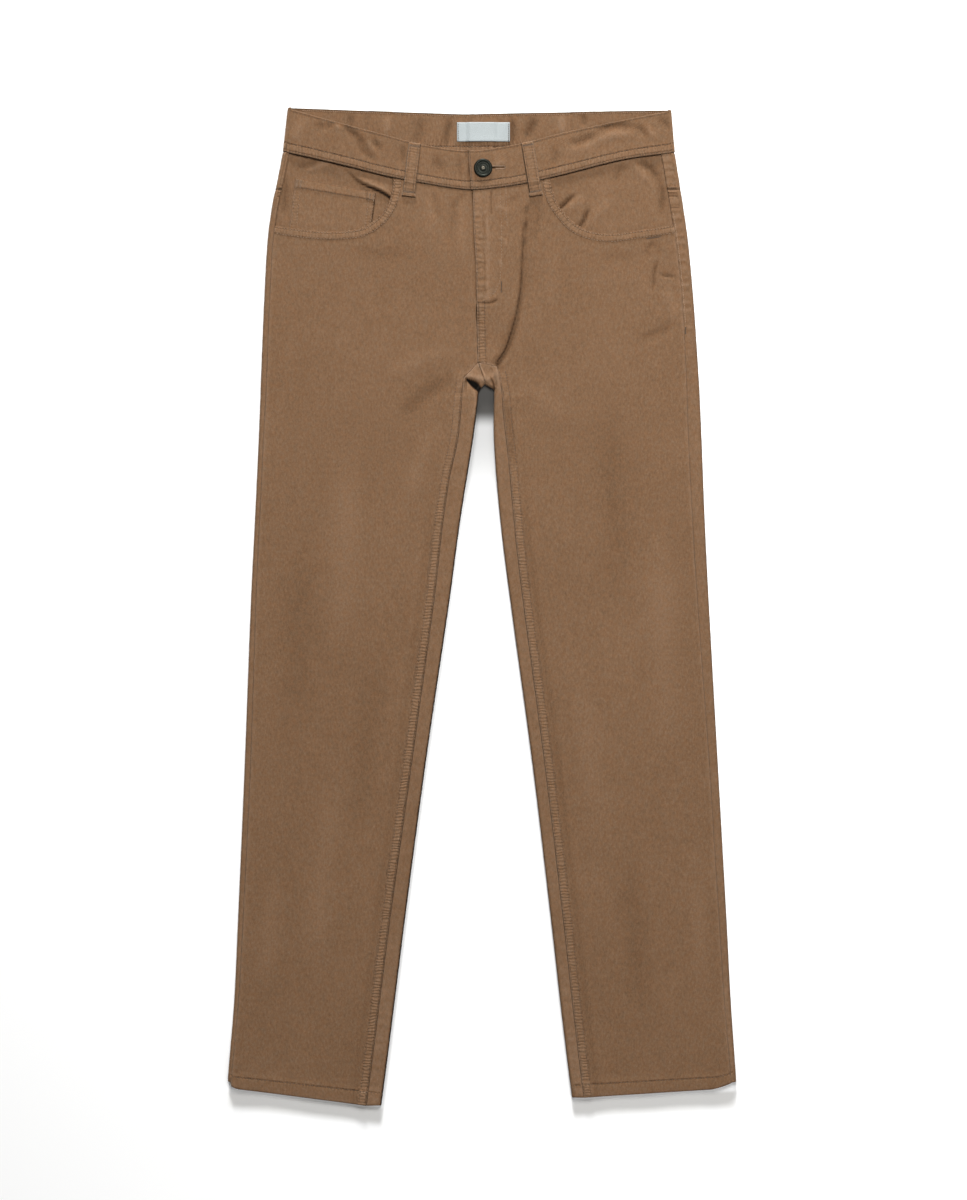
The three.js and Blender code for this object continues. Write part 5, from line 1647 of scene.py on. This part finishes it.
def sew_loops(stitch):
    for name in FRONT_LOOPS:
        sewing = Sewing(f"stitches_{name}", stitch)
        _, top, bottom = FRONT_LOOPS[name]
        along = np.subtract(bottom, top)
        long = np.hypot(*along)
        way = along / long
        across = np.array([way[1], -way[0]])

        def face(x, drop, name=name, top=top, way=way, across=across, long=long):
            place = joined(x - top[0], drop - top[1])
            u, t = place @ across / (LOOP_WIDTH / 2), place @ way / long
            return front_loop_place(name, u, t)[2] + 0.4 * smooth(0.9, 0.95, t) + THREAD_SINK

        for u in (-0.62, 0.62):
            start = np.array(top) + across * u * LOOP_WIDTH / 2 + way * 1.5
            sewing.row(Line([start, start + way * (long - 4)]), face)
        for t in (0.05, 0.9):
            start = np.array(top) + way * t * long - across * LOOP_WIDTH * 0.42
            for step in (0, 1.3):
                line = Line([start + way * step, start + way * step + across * LOOP_WIDTH * 0.84])
                sewing.row(line, face, pitch=0.7, turned=True, scale=0.7)
        sewing.finish()


def strip_face(kind, side, x, drop):
    """Height of a strip of the back that shows beside a front, on the outer or the inner side."""
    seam, edge = seam_x(kind, side, drop), leg(kind, side, drop)
    share = np.clip(np.abs(x - seam) / np.abs(seam - edge), 0, 1)
    rounding = smooth(4.0, 0.5, np.abs(edge - x)) * 1.2
    return top_height(side, x, drop) + strip_relief(side, x, drop, share).height - rounding + THREAD_SINK


def sew_strips(stitch):
    """Short rows on the strips in front: the yokes' double rows, the hems and the side seam."""
    sewing = Sewing("stitches_side_strips", stitch)
    for side, sign in SIGN.items():
        face = partial(strip_face, "outer", side)
        for offset in (-1.6, -6.6):
            drop = YOKE["side"] + offset
            start, end = float(seam_x("outer", side, drop)), float(leg("outer", side, drop))
            sewing.row(Line([(start + sign * 0.8, drop), (end - sign * 1.4, drop)]), face, pitch=2.6)
        if side == "left":
            drops = np.arange(113, 232, 3)
            line = Line(joined(seam_x("outer", side, drops) + sign * 1.7, drops))
            sewing.row(line, lambda x, drop: face(x, drop) + 0.15, pitch=2.6, pale=0.9)
            foot = float(seam_x("outer", side, 237)) + sign * 1.5
            sewing.row(Line([(foot, 233), (foot, 241)]), face, pitch=0.6, turned=True, scale=0.8)

        ends = (float(seam_x("inner", side, 1040)), float(leg("inner", side, 1045)))
        xs = np.linspace(ends[0] - sign * 1, ends[1] + sign * 1.6, 12)
        hem_row = Line(joined(xs, hem_drop(side, xs) - HEM_DEPTH + 0.4))
        sewing.row(hem_row, partial(strip_face, "inner", side), pitch=3.4)
    sewing.finish()


def sew_underside(stitch):
    """What shows when the trousers are lifted: pockets, yokes and the centre seam."""
    sewing = Sewing("stitches_underside", stitch)

    def face(x, drop):
        return np.full(np.shape(x), SOLE + 0.12)

    rim = [(0.03, 0.03), (0.97, 0.03), (0.97, 0.99), (0.5, 0.99), (0.03, 0.99), (0.03, 0.03)]
    for side, sign in SIGN.items():
        for inset in (0.0, 0.035):
            corners = [(lerp(u, 0.5, inset * 2), lerp(t, 0.5, inset * 2)) for u, t in rim]
            sewing.row(Line([np.array(back_pocket_corner(side, *c)) for c in corners]), face, down=True)
        for offset in (2, 7):
            line = Line([(sign * 205, YOKE["side"] - offset), (sign * 2, YOKE["centre"] - offset)])
            sewing.row(line, face, down=True)
        seam = [(sign * 1.8, YOKE["centre"] + 3), (ARCH["x"] * 0.9 + sign * 1.8, 280)]
        sewing.row(Line(seam), face, down=True)
    sewing.finish()


def sew_label(stitch):
    sewing = Sewing("stitches_size_label", stitch)
    height, half = BAND_CLOTH + GAP + LABEL_CLOTH + 0.3, LABEL["height"] / 2 - 1
    for sign in (-1, 1):
        x = LABEL["x"] + sign * (LABEL["width"] / 2 - 1.3)
        line = Line([(x, LABEL["drop"] - half), (x, LABEL["drop"] + half)])
        sewing.row(line, lambda x, drop: np.full(np.shape(x), height), pitch=2.4, scale=0.8)
    sewing.finish()


# Materials

class Nodes:
    """Short calls to place and join shader nodes."""

    def __init__(self, tree):
        self.tree = tree

    def join(self, value, socket):
        if isinstance(value, bpy.types.NodeSocket):
            self.tree.links.new(value, socket)
        else:
            socket.default_value = value

    def add(self, kind, inputs=None, **settings):
        node = self.tree.nodes.new(kind)
        for key, value in settings.items():
            setattr(node, key, value)
        for key, value in (inputs or {}).items():
            self.join(value, node.inputs[key])
        return node

    def math(self, operation, a, b=0.0, c=0.5, clamp=False):
        inputs = {0: a, 1: b, 2: c}
        return self.add("ShaderNodeMath", inputs, operation=operation, use_clamp=clamp).outputs[0]

    def times(self, a, b, clamp=False):
        return self.math("MULTIPLY", a, b, clamp=clamp)

    def plus(self, a, b, clamp=False):
        return self.math("ADD", a, b, clamp=clamp)

    def minus(self, a, b, clamp=False):
        return self.math("SUBTRACT", a, b, clamp=clamp)

    def sum(self, start, *rest):
        """A start with shares of other values added. Each of the rest is a value and its share."""
        for value, share in rest:
            start = self.plus(start, self.times(value, share))
        return start

    def swing(self, value):
        """A value round a half moved to both sides of nothing."""
        return self.minus(value, 0.5)

    def wave(self, value, length):
        return self.math("SINE", self.times(value, 2 * math.pi / length))

    def span(self, value, low, high, most=1.0, kind="SMOOTHSTEP"):
        """0 to most while a value goes from low to high."""
        inputs = {0: value, 1: low, 2: high, 4: most}
        return self.add("ShaderNodeMapRange", inputs, interpolation_type=kind).outputs[0]

    def split(self, vector):
        return self.add("ShaderNodeSeparateXYZ", {0: vector}).outputs

    def place(self):
        return self.add("ShaderNodeTexCoord").outputs["Object"]

    def attribute(self, name, output="Fac"):
        kept = self.add("ShaderNodeAttribute", attribute_name=name, attribute_type="GEOMETRY")
        return kept.outputs[output]

    def mix(self, share, a, b, blend="MIX"):
        inputs = {0: share, 6: a, 7: b}
        return self.add("ShaderNodeMix", inputs, data_type="RGBA", blend_type=blend).outputs[2]

    def noise(self, vector, scale, detail=2.0, roughness=0.5):
        inputs = {"Vector": vector, "Scale": scale, "Detail": detail, "Roughness": roughness}
        return self.add("ShaderNodeTexNoise", inputs).outputs[0]

    def scaled(self, vector, scale):
        return self.add("ShaderNodeMapping", {"Vector": vector, "Scale": scale}).outputs[0]

    def raise_by(self, height, shader, strength=1.0):
        relief = self.add("ShaderNodeBump", {"Height": height, "Distance": 1.0, "Strength": strength})
        self.join(relief.outputs[0], shader.inputs["Normal"])


def new_group(name, inputs, outputs):
    """A node group. An input without a default is a colour, and so is the output named Color."""
    group = bpy.data.node_groups.new(name, "ShaderNodeTree")
    for key, default in inputs.items():
        kind = "NodeSocketColor" if default is None else "NodeSocketFloat"
        socket = group.interface.new_socket(name=key, in_out="INPUT", socket_type=kind)
        if default is not None:
            socket.default_value = default
    for key in outputs:
        kind = "NodeSocketColor" if key == "Color" else "NodeSocketFloat"
        group.interface.new_socket(name=key, in_out="OUTPUT", socket_type=kind)
    nodes = Nodes(group)
    return group, nodes, nodes.add("NodeGroupInput").outputs, nodes.add("NodeGroupOutput").inputs


PUCKER_LENGTH = 0.0034
LINE_WIDTHS = (1.0, 0.75, 0.8)  # of the painted line along a folded edge and of the painted shade in its two rows of stitches, in millimetres
# Colour of the painted shadow where the tone is lowest.
NEAR_BLACK = (0.003, 0.002, 0.001, 1)
TINTS = (1.16, 0.97, 0.78, 1), (0.84, 1.03, 1.22, 1)


def corduroy_group():
    """Cords, nap, mottling, puckers and abraded edges of the cloth, with painted shade in creases, dips and
    stitch grooves and painted highlights on lit edges and ridges.
    """
    defaults = {"Cloth": None, "Worn": None, "Deep": None, "Cord Width": 0.0013, "Cord Depth": 0.00018,
                "Mottling": 1.0}
    group, n, into, out = new_group("Corduroy cloth", defaults, ("Color", "Height", "Roughness"))
    cut = n.add("ShaderNodeUVMap", uv_map="Cut").outputs[0]
    place = n.place()
    across = n.sum(n.split(cut)[0], (n.noise(cut, 60), 0.0012))
    turns = n.times(n.math("DIVIDE", across, into["Cord Width"]), 2 * math.pi)
    cord = n.math("MULTIPLY_ADD", n.math("SINE", turns), 0.5, 0.5)
    fibre = n.noise(n.scaled(cut, (1700, 520, 1)), 1.0, 3, 0.6)
    speckle = n.noise(n.scaled(place, (1, 0.55, 1)), 480, 3, 0.85)
    blotch, broad = n.noise(place, 62, 4, 0.62), n.noise(place, 9, 3, 0.5)
    marks, depths = (n.split(n.attribute(key, "Vector")) for key in ("marks", "depths"))
    uneven = n.swing(n.noise(place, 260, 3, 0.6))
    lines = []
    for k, width in enumerate(LINE_WIDTHS):
        off = n.sum(marks[k], (uneven, 0.7))
        shape = n.math("EXPONENT", n.times(n.times(off, off), -1 / width**2))
        patchy = n.math("MULTIPLY_ADD", n.noise(place, 330 + 90 * k, 2), 1.6, 0.2)
        lines.append(n.times(n.times(shape, depths[k]), patchy))
    grooves = n.plus(lines[1], lines[2])
    # The folded edge's painted line and the stitch grooves' painted shade join the mesh's tone.
    wear = n.plus(n.attribute("wear"), n.minus(lines[0], grooves))
    pucker = n.wave(n.sum(n.attribute("along"), (n.noise(place, 90, 2), 0.006)), PUCKER_LENGTH)
    pucker = n.times(n.times(pucker, n.attribute("sewn")), n.times(n.noise(place, 140, 2), 0.8))
    mottle = n.times(n.swing(blotch), 0.35)
    for value, share in ((broad, 0.5), (speckle, 2.3), (fibre, 0.5)):
        mottle = n.sum(mottle, (n.swing(value), share))
    mottle = n.times(mottle, into["Mottling"])
    # Cords and puckers painted lighter on top and darker in their dips, as painted shade.
    tone = n.sum(mottle, (n.swing(cord), 0.28), (pucker, 0.35), (wear, 0.75))
    colour = n.mix(n.times(tone, 0.8, clamp=True), into["Cloth"], into["Worn"])
    colour = n.mix(n.times(tone, -0.8, clamp=True), colour, into["Deep"])
    # Painted shadow: near black where the tone is lowest, as in the dip under the fork.
    hollow = n.times(n.plus(wear, 1.2), -0.5, clamp=True)
    colour = n.mix(hollow, colour, NEAR_BLACK)
    n.join(n.mix(1.0, colour, n.mix(n.noise(place, 210, 4, 0.7), *TINTS), "MULTIPLY"), out["Color"])
    fold = n.times(n.span(marks[2], 1.3, -0.5), depths[2])
    n.join(n.sum(n.times(cord, into["Cord Depth"]), (fibre, 0.00012), (speckle, 0.0003), (pucker, 0.00035),
                 (grooves, -0.00035), (fold, 0.0003)), out["Height"])
    n.join(n.plus(n.times(fibre, 0.12), 0.82), out["Roughness"])
    return group


def thread_group():
    """Twist along a thread, with uneven tone between the thread's colour and its painted shaded copy."""
    defaults = {"Thread": None, "Shade": None, "Ply": 0.0006}
    group, n, into, out = new_group("Sewing thread", defaults, ("Color", "Height"))
    place = n.place()
    split = n.split(place)
    twist = n.math("DIVIDE", n.plus(split[0], split[1]), into["Ply"])
    twist = n.math("SINE", n.times(twist, 2 * math.pi))
    patchy = n.times(n.swing(n.noise(place, 70, 3, 0.6)), 0.8)
    share = n.plus(n.times(twist, 0.12), n.plus(n.attribute("pale"), patchy), clamp=True)
    n.join(n.mix(share, into["Shade"], into["Thread"]), out["Color"])
    n.join(n.times(twist, 0.00005), out["Height"])
    return group


def new_material(name, **values):
    material = bpy.data.materials.new(name)
    material.use_nodes = True
    shader = material.node_tree.nodes["Principled BSDF"]
    for key, value in values.items():
        shader.inputs[key.replace("_", " ")].default_value = value
    return material, Nodes(material.node_tree), shader


def use_group(nodes, shader, group, inputs, outputs=("Color", "Roughness")):
    placed = nodes.add("ShaderNodeGroup", inputs, node_tree=group)
    for key in outputs:
        nodes.join(placed.outputs[key], shader.inputs["Base Color" if key == "Color" else key])
    nodes.raise_by(placed.outputs["Height"], shader)


def colour(name, share=1.0, lift=0.0):
    """One of the colours that a user sets, made lighter or darker."""
    return tuple(c * share + lift for c in getattr(bpy.context.scene.trouser_colours, name)) + (1.0,)


def cloth_material():
    name = "Corduroy"
    if name in bpy.data.materials:
        return bpy.data.materials[name]
    material, nodes, shader = new_material(
        name, Sheen_Weight=0.13, Sheen_Roughness=0.45, Sheen_Tint=(0.95, 0.78, 0.6, 1),
        Specular_IOR_Level=0.12)
    sizes = bpy.context.scene.trouser_sizes
    use_group(nodes, shader, corduroy_group(), {
        "Cloth": colour("cloth"), "Worn": colour("worn"), "Deep": colour("deep"),
        "Cord Width": sizes.cord, "Cord Depth": sizes.cord_depth, "Mottling": 1.0,
    })
    return material


def thread_material():
    name = "Thread"
    if name in bpy.data.materials:
        return bpy.data.materials[name]
    material, nodes, shader = new_material(name, Roughness=0.75, Sheen_Weight=0.1, Specular_IOR_Level=0.15)
    # Shade is a painted shaded copy of the thread colour.
    inputs = {"Thread": colour("thread"), "Shade": colour("thread", 0.27), "Ply": 0.0006}
    use_group(nodes, shader, thread_group(), inputs, outputs=("Color",))
    return material


def label_material():
    material, n, shader = new_material("Label", Roughness=0.55, Sheen_Weight=0.15)
    place = n.place()
    split = n.split(place)
    weave = n.times(*(n.math("SINE", n.times(split[k], 12000)) for k in (0, 1)))
    share = n.minus(n.math("MULTIPLY_ADD", weave, 0.06), n.times(n.attribute("wear"), 0.5))
    share = n.plus(share, n.times(n.noise(place, 160, 3), 0.25), clamp=True)
    n.join(n.mix(share, colour("label"), colour("label", 0.78)), shader.inputs["Base Color"])
    n.raise_by(n.times(weave, 0.00004), shader)
    return material


def metal_material(name, key, roughness):
    material, n, shader = new_material(name, Metallic=0.85, Specular_IOR_Level=0.15)
    place = n.place()
    grained, patina = n.noise(place, 900, 4, 0.65), n.noise(place, 210, 3, 0.6)
    share = n.times(n.minus(patina, 0.42, clamp=True), 1.6, clamp=True)
    n.join(n.mix(share, colour(key), colour(key, 2.2, 0.004)), shader.inputs["Base Color"])
    n.join(n.plus(n.times(grained, 0.25), roughness), shader.inputs["Roughness"])
    n.raise_by(n.times(grained, 0.0001), shader)
    return material


GAP_SHADE = {  # in millimetres: a painted shadow on the floor in the gap under the fork: drops that it darkens between, and how far it reaches
    "drops": ((341, 322), (455, 344)), "share": 0.5, "below": (400.0, 300.0), "beside": (45.0, 30.0),
    "tone": (0.075, 0.071, 0.066, 1),
}
HEM_SHADE = {  # in millimetres below a hem: where the floor's painted glow ends, and the span of the even painted shadow
    "bounce": (0.5, 6.0), "start": (1.0, 6.0), "end": (25.0, 15.0), "light": 0.16,
    "dusk": (0.76, 0.75, 0.73, 1),
}


def floor_material():
    # The floor's pale tone carries a painted shadow in the gap under the fork and beyond the hems, and a
    # painted glow beside the hems.
    material, n, shader = new_material(
        "Studio floor", Roughness=0.9, Specular_IOR_Level=0.1, Emission_Strength=1)
    place = n.place()
    split = n.split(place)
    tone = n.mix(n.noise(place, 3), colour("floor"), colour("floor", 0.99))
    deep, faint = (n.span(split[1], y_of(start) * MM, y_of(end) * MM, GAP_SHADE["share"])
                   for start, end in GAP_SHADE["drops"])
    values = {"below": split[1], "beside": n.math("ABSOLUTE", split[0])}
    below, beside = (n.span(value, GAP_SHADE[key][0] * MM, GAP_SHADE[key][1] * MM, kind="LINEAR")
                     for key, value in values.items())
    tone = n.mix(n.times(n.plus(deep, faint), n.times(below, beside), clamp=True), tone, GAP_SHADE["tone"])
    dusk, light = hem_shade(n, split)
    n.join(n.mix(dusk, tone, HEM_SHADE["dusk"]), shader.inputs["Base Color"])
    # The floor glows beside the hems: a painted glow, though the floor is no lamp.
    n.join(light, shader.inputs["Emission Color"])
    return material


def hem_shade(n, place):
    """How strong the painted shadow on the floor is beyond the hems, and the painted glow that the floor
    gives off beside them.
    """
    def span(value, low, high, most=1.0):
        return n.span(value, low * MM, high * MM, most)

    painted_shadows, glows = [], []
    for side, sign in SIGN.items():
        outer, inner = float(leg("outer", side, 1050)), float(leg("inner", side, 1050))
        edge = n.add("ShaderNodeMapRange", {
            0: place[0], 1: outer * MM, 2: inner * MM,
            3: y_of(HEM[side]["outer"]) * MM, 4: y_of(HEM[side]["inner"]) * MM}).outputs[0]
        below = n.minus(edge, place[1])
        away = n.times(place[0], float(sign))
        near, far = abs(inner), abs(outer)
        here = n.times(span(away, near - 3, near + 5), span(away, far + 3, far - 5))
        dusk = n.times(span(below, *HEM_SHADE["start"]), span(below, *HEM_SHADE["end"]))
        painted_shadows.append(n.times(dusk, here))
        glows.append(n.times(span(below, *HEM_SHADE["bounce"][::-1], HEM_SHADE["light"]), here))
    return n.plus(*painted_shadows), n.plus(*glows)


# Button

def lathe_faces(steps):
    """Insets the selected face and moves it up or down, once for each step."""
    for inset, rise in steps:
        bpy.ops.mesh.inset(thickness=inset * MM, depth=0)
        bpy.ops.transform.translate(value=(0, 0, rise * MM))


BUTTON_STEPS = {  # how far each step goes inwards and upwards: the rim and the middle above, the foot below
    "rim": [(0.02, 0.0), (0.45, 0.55), (0.85, 0.25), (0.85, -0.05), (0.45, -0.4), (0.25, -0.15), (1.0, 0.04),
            (0.25, 0.12), (0.4, 0.0), (0.25, -0.12), (1.9, 0.05), (0.2, 0.14), (0.35, 0.03), (0.2, -0.12),
            (0.45, 0.0)],
    "middle": [(0.25, 0.35), (0.35, 0.22), (0.4, 0.0), (0.12, -0.25), (0.3, -0.1)],
    "foot": [(0.8, -0.25), (3.3, -0.1)],
}


def make_button():
    cap = band_height("left", BUTTON["x"]) + GAP
    foot = band_height("right", BUTTON["x"]) + GAP
    place = Vector((BUTTON["x"] * MM, y_of(BUTTON["drop"]) * MM, 0))
    bpy.ops.object.select_all(action="DESELECT")
    bpy.ops.mesh.primitive_cylinder_add(vertices=64, radius=BUTTON["rim"] * MM, depth=0.9 * MM,
                                        location=place + Vector((0, 0, (cap + 0.95) * MM)))
    button = bpy.context.object
    button.name = button.data.name = "button_cap"
    bpy.ops.object.transform_apply(location=True, rotation=True, scale=True)
    edit_faces(button, lambda face: face.normal.z > 0.9)
    lathe_faces(BUTTON_STEPS["rim"] + BUTTON_STEPS["middle"])
    bpy.ops.object.mode_set(mode="OBJECT")
    edit_faces(button, lambda face: face.normal.z < -0.9)
    lathe_faces(BUTTON_STEPS["foot"])
    bpy.ops.mesh.extrude_region_move(TRANSFORM_OT_translate={"value": (0, 0, -(cap - foot + 0.1) * MM)})
    bpy.ops.object.mode_set(mode="OBJECT")
    finer = button.modifiers.new("round", "BEVEL")
    finer.width, finer.segments = 0.12 * MM, 2
    finer.limit_method, finer.angle_limit = "ANGLE", math.radians(35)
    bpy.ops.object.modifier_apply(modifier=finer.name)
    button.data.shade_smooth()
    bpy.ops.object.shade_smooth_by_angle(angle=math.radians(50))
    button.data.materials.append(metal_material("Gunmetal", "metal", 0.32))
    button.data.materials.append(metal_material("Brass rivet", "rivet", 0.3))
    for face in button.data.polygons:
        offset = (face.center.xy - place.xy).length
        face.material_index = int(offset < 2.0 * MM and face.center.z > cap * MM)
    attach(button, "root")
    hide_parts("waist_button")


# Stage

VIEW_WIDTH_PX, VIEW_HEIGHT_PX = 967, 1200
MM_PER_PX = 1.063
CENTRE_LINE_PX, WAIST_TOP_PX = 482, 108
LENS, SENSOR = 100.0, 36.0
SOFT_BOXES = (  # name, place, size and the setting of its power
    ("soft_box_top", (0.18, 0.95, 1.4), 0.9, "key"),
    ("soft_box_side", (1.6, -0.3, 1.4), 1.0, "fill"),
    ("soft_box_foot", (0.1, -1.6, 0.55), 0.7, "foot"),
)
LOW_LIGHT_WAY = Vector((0.06, -1, -0.23))


def make_stage():
    colours = bpy.context.scene.trouser_colours
    bpy.ops.object.select_all(action="DESELECT")
    bpy.ops.mesh.primitive_plane_add(size=14, location=(0, 0, 0))
    floor = bpy.context.object
    floor.name = floor.data.name = "floor"
    floor.data.materials.append(floor_material())
    world = bpy.data.worlds.new("Studio")
    world.use_nodes = True
    background = world.node_tree.nodes["Background"]
    background.inputs[0].default_value = (1, 1, 1, 1)
    background.inputs[1].default_value = colours.ambient
    bpy.context.scene.world = world
    for name, place, size, power in SOFT_BOXES:
        bpy.ops.object.light_add(type="AREA", location=place)
        light = bpy.context.object
        light.name = name
        light.data.shape, light.data.size, light.data.energy = "SQUARE", size, getattr(colours, power)
        light.rotation_euler = (-Vector(place)).to_track_quat("-Z", "Y").to_euler()
    bpy.ops.object.light_add(type="SUN", location=(0, 2, 1))
    low = bpy.context.object
    low.name = "low_window"
    low.data.energy, low.data.angle = colours.window, math.radians(8)
    low.rotation_euler = LOW_LIGHT_WAY.to_track_quat("-Z", "Y").to_euler()
    scene = bpy.context.scene
    scene.view_settings.view_transform = "Standard"
    centre_x = (VIEW_WIDTH_PX / 2 - CENTRE_LINE_PX) * MM_PER_PX
    centre_drop = (VIEW_HEIGHT_PX / 2 - WAIST_TOP_PX) * MM_PER_PX
    height = VIEW_HEIGHT_PX * MM_PER_PX * MM * LENS / SENSOR
    bpy.ops.object.camera_add(location=(centre_x * MM, y_of(centre_drop) * MM, height), rotation=(0, 0, 0))
    camera = bpy.context.object
    camera.data.lens, camera.data.sensor_width = LENS, SENSOR
    camera.data.dof.use_dof = False
    scene.camera = camera


# Add-on

class TrouserSizes(bpy.types.PropertyGroup):
    cord: bpy.props.FloatProperty(
        name="Cord width", description="From one cord of the cloth to the next", default=0.0013,
        min=0.0005, max=0.01, precision=4, unit="LENGTH", subtype="DISTANCE")
    cord_depth: bpy.props.FloatProperty(
        name="Cord depth", description="Relief of the cords", default=0.00022,
        min=0, max=0.002, precision=5, unit="LENGTH", subtype="DISTANCE")
    stitch: bpy.props.FloatProperty(
        name="Stitch length", description="Length of one stitch on the cloth", default=0.0026,
        min=0.001, max=0.008, precision=4, unit="LENGTH", subtype="DISTANCE")
    thread: bpy.props.FloatProperty(
        name="Thread", description="Thickness of the sewing thread", default=0.0006,
        min=0.0002, max=0.002, precision=4, unit="LENGTH", subtype="DISTANCE")


def colour_prop(name, description, default):
    return bpy.props.FloatVectorProperty(
        name=name, description=description, default=default, min=0, max=1, subtype="COLOR")


class TrouserColours(bpy.types.PropertyGroup):
    cloth: colour_prop("Cloth", "The corduroy's usual colour", (0.170, 0.0937, 0.0485))
    # Also the painted highlight on lit edges and ridges.
    worn: colour_prop("Worn cloth", "Rubbed cords and raised edges", (0.262, 0.163, 0.100))
    # Also the painted shade in creases, dips and stitch grooves.
    deep: colour_prop("Deep cloth", "Creases and the ground between cords", (0.075, 0.037, 0.017))
    thread: colour_prop("Thread", "Sewing thread where it catches the light", (0.33, 0.215, 0.135))
    label: colour_prop("Label", "The bare label", (0.375, 0.412, 0.414))
    metal: colour_prop("Metal", "The button", (0.011, 0.012, 0.0095))
    rivet: colour_prop("Rivet", "The button's middle", (0.10, 0.088, 0.066))
    floor: colour_prop("Floor", "The studio floor", (0.94, 0.94, 0.935))
    ambient: bpy.props.FloatProperty(
        name="Ambient", description="Light from all round", default=0.14, min=0)
    key: bpy.props.FloatProperty(
        name="Key light", description="Soft box above the waist", default=28.5, min=0, unit="POWER")
    fill: bpy.props.FloatProperty(
        name="Side light", description="Soft box at the side", default=8, min=0, unit="POWER")
    foot: bpy.props.FloatProperty(
        name="Foot light", description="Soft box beyond the hems", default=3.2, min=0, unit="POWER")
    window: bpy.props.FloatProperty(
        name="Low light", description="Low light along the cloth", default=5.55, min=0)


class TROUSERS_OT_fronts(bpy.types.Operator):
    """Makes the two front panels, with the fly over the right one"""
    bl_idname = "trousers.fronts"
    bl_label = "Front Panels"

    def execute(self, context):
        for side in SIGN:
            make_front(side)
        return {"FINISHED"}


class TROUSERS_OT_backs(bpy.types.Operator):
    """Makes the back panels and yokes, folded round the edges"""
    bl_idname = "trousers.backs"
    bl_label = "Back Panels and Yokes"

    def execute(self, context):
        for side in SIGN:
            make_back(side)
            make_yoke(side)
        return {"FINISHED"}


class TROUSERS_OT_waistband(bpy.types.Operator):
    """Makes the waistband with its buttonhole"""
    bl_idname = "trousers.waistband"
    bl_label = "Waistband"

    def execute(self, context):
        make_waistband()
        return {"FINISHED"}


class TROUSERS_OT_pockets(bpy.types.Operator):
    """Makes the pocket facings, the coin pocket and the back pockets"""
    bl_idname = "trousers.pockets"
    bl_label = "Pockets"

    def execute(self, context):
        for side in SIGN:
            make_facing(side)
            make_back_pocket(side)
        make_coin_pocket()
        return {"FINISHED"}


class TROUSERS_OT_belt_loops(bpy.types.Operator):
    """Makes the five belt loops"""
    bl_idname = "trousers.belt_loops"
    bl_label = "Belt Loops"

    def execute(self, context):
        for name in FRONT_LOOPS:
            make_front_loop(name)
        for name in BACK_LOOPS:
            make_back_loop(name)
        return {"FINISHED"}


class TROUSERS_OT_label(bpy.types.Operator):
    """Makes the bare label inside the waistband"""
    bl_idname = "trousers.label"
    bl_label = "Label"

    def execute(self, context):
        make_label()
        return {"FINISHED"}


class TROUSERS_OT_closure(bpy.types.Operator):
    """Makes the button and finishes the zip under the fly"""
    bl_idname = "trousers.closure"
    bl_label = "Button and Zip"

    def execute(self, context):
        make_button()
        zip_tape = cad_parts["zip"]
        zip_tape.data.materials.clear()
        zip_tape.data.materials.append(thread_material())
        return {"FINISHED"}


class TROUSERS_OT_stitching(bpy.types.Operator):
    """Sews every seam with modelled stitches"""
    bl_idname = "trousers.stitching"
    bl_label = "Stitching"

    def execute(self, context):
        stitch = model_stitch()
        for side in SIGN:
            sew_front(side, stitch)
        for sew in (sew_waistband, sew_pockets, sew_loops, sew_strips, sew_underside, sew_label):
            sew(stitch)
        return {"FINISHED"}


class TROUSERS_OT_stage(bpy.types.Operator):
    """Makes the floor, the lights and the camera"""
    bl_idname = "trousers.stage"
    bl_label = "Stage"

    def execute(self, context):
        make_stage()
        return {"FINISHED"}


OPERATORS = (
    TROUSERS_OT_stage, TROUSERS_OT_fronts, TROUSERS_OT_backs, TROUSERS_OT_waistband, TROUSERS_OT_pockets,
    TROUSERS_OT_belt_loops, TROUSERS_OT_label, TROUSERS_OT_closure, TROUSERS_OT_stitching,
)


class TROUSERS_PT_panel(bpy.types.Panel):
    bl_label = "Corduroy Trousers"
    bl_space_type = "VIEW_3D"
    bl_region_type = "UI"
    bl_category = "Trousers"

    def draw(self, context):
        for group in (context.scene.trouser_sizes, context.scene.trouser_colours):
            for key in group.__annotations__:
                self.layout.prop(group, key)
        for operator in OPERATORS:
            self.layout.operator(operator.bl_idname)


CLASSES = (TrouserSizes, TrouserColours, *OPERATORS, TROUSERS_PT_panel)


def register():
    for cls in CLASSES:
        bpy.utils.register_class(cls)
    bpy.types.Scene.trouser_sizes = bpy.props.PointerProperty(type=TrouserSizes)
    bpy.types.Scene.trouser_colours = bpy.props.PointerProperty(type=TrouserColours)


def unregister():
    del bpy.types.Scene.trouser_colours
    del bpy.types.Scene.trouser_sizes
    for cls in reversed(CLASSES):
        bpy.utils.unregister_class(cls)


def main():
    register()
    for operator in OPERATORS:
        group, name = operator.bl_idname.split(".")
        getattr(getattr(bpy.ops, group), name)()


if __name__ == "__main__":
    main()
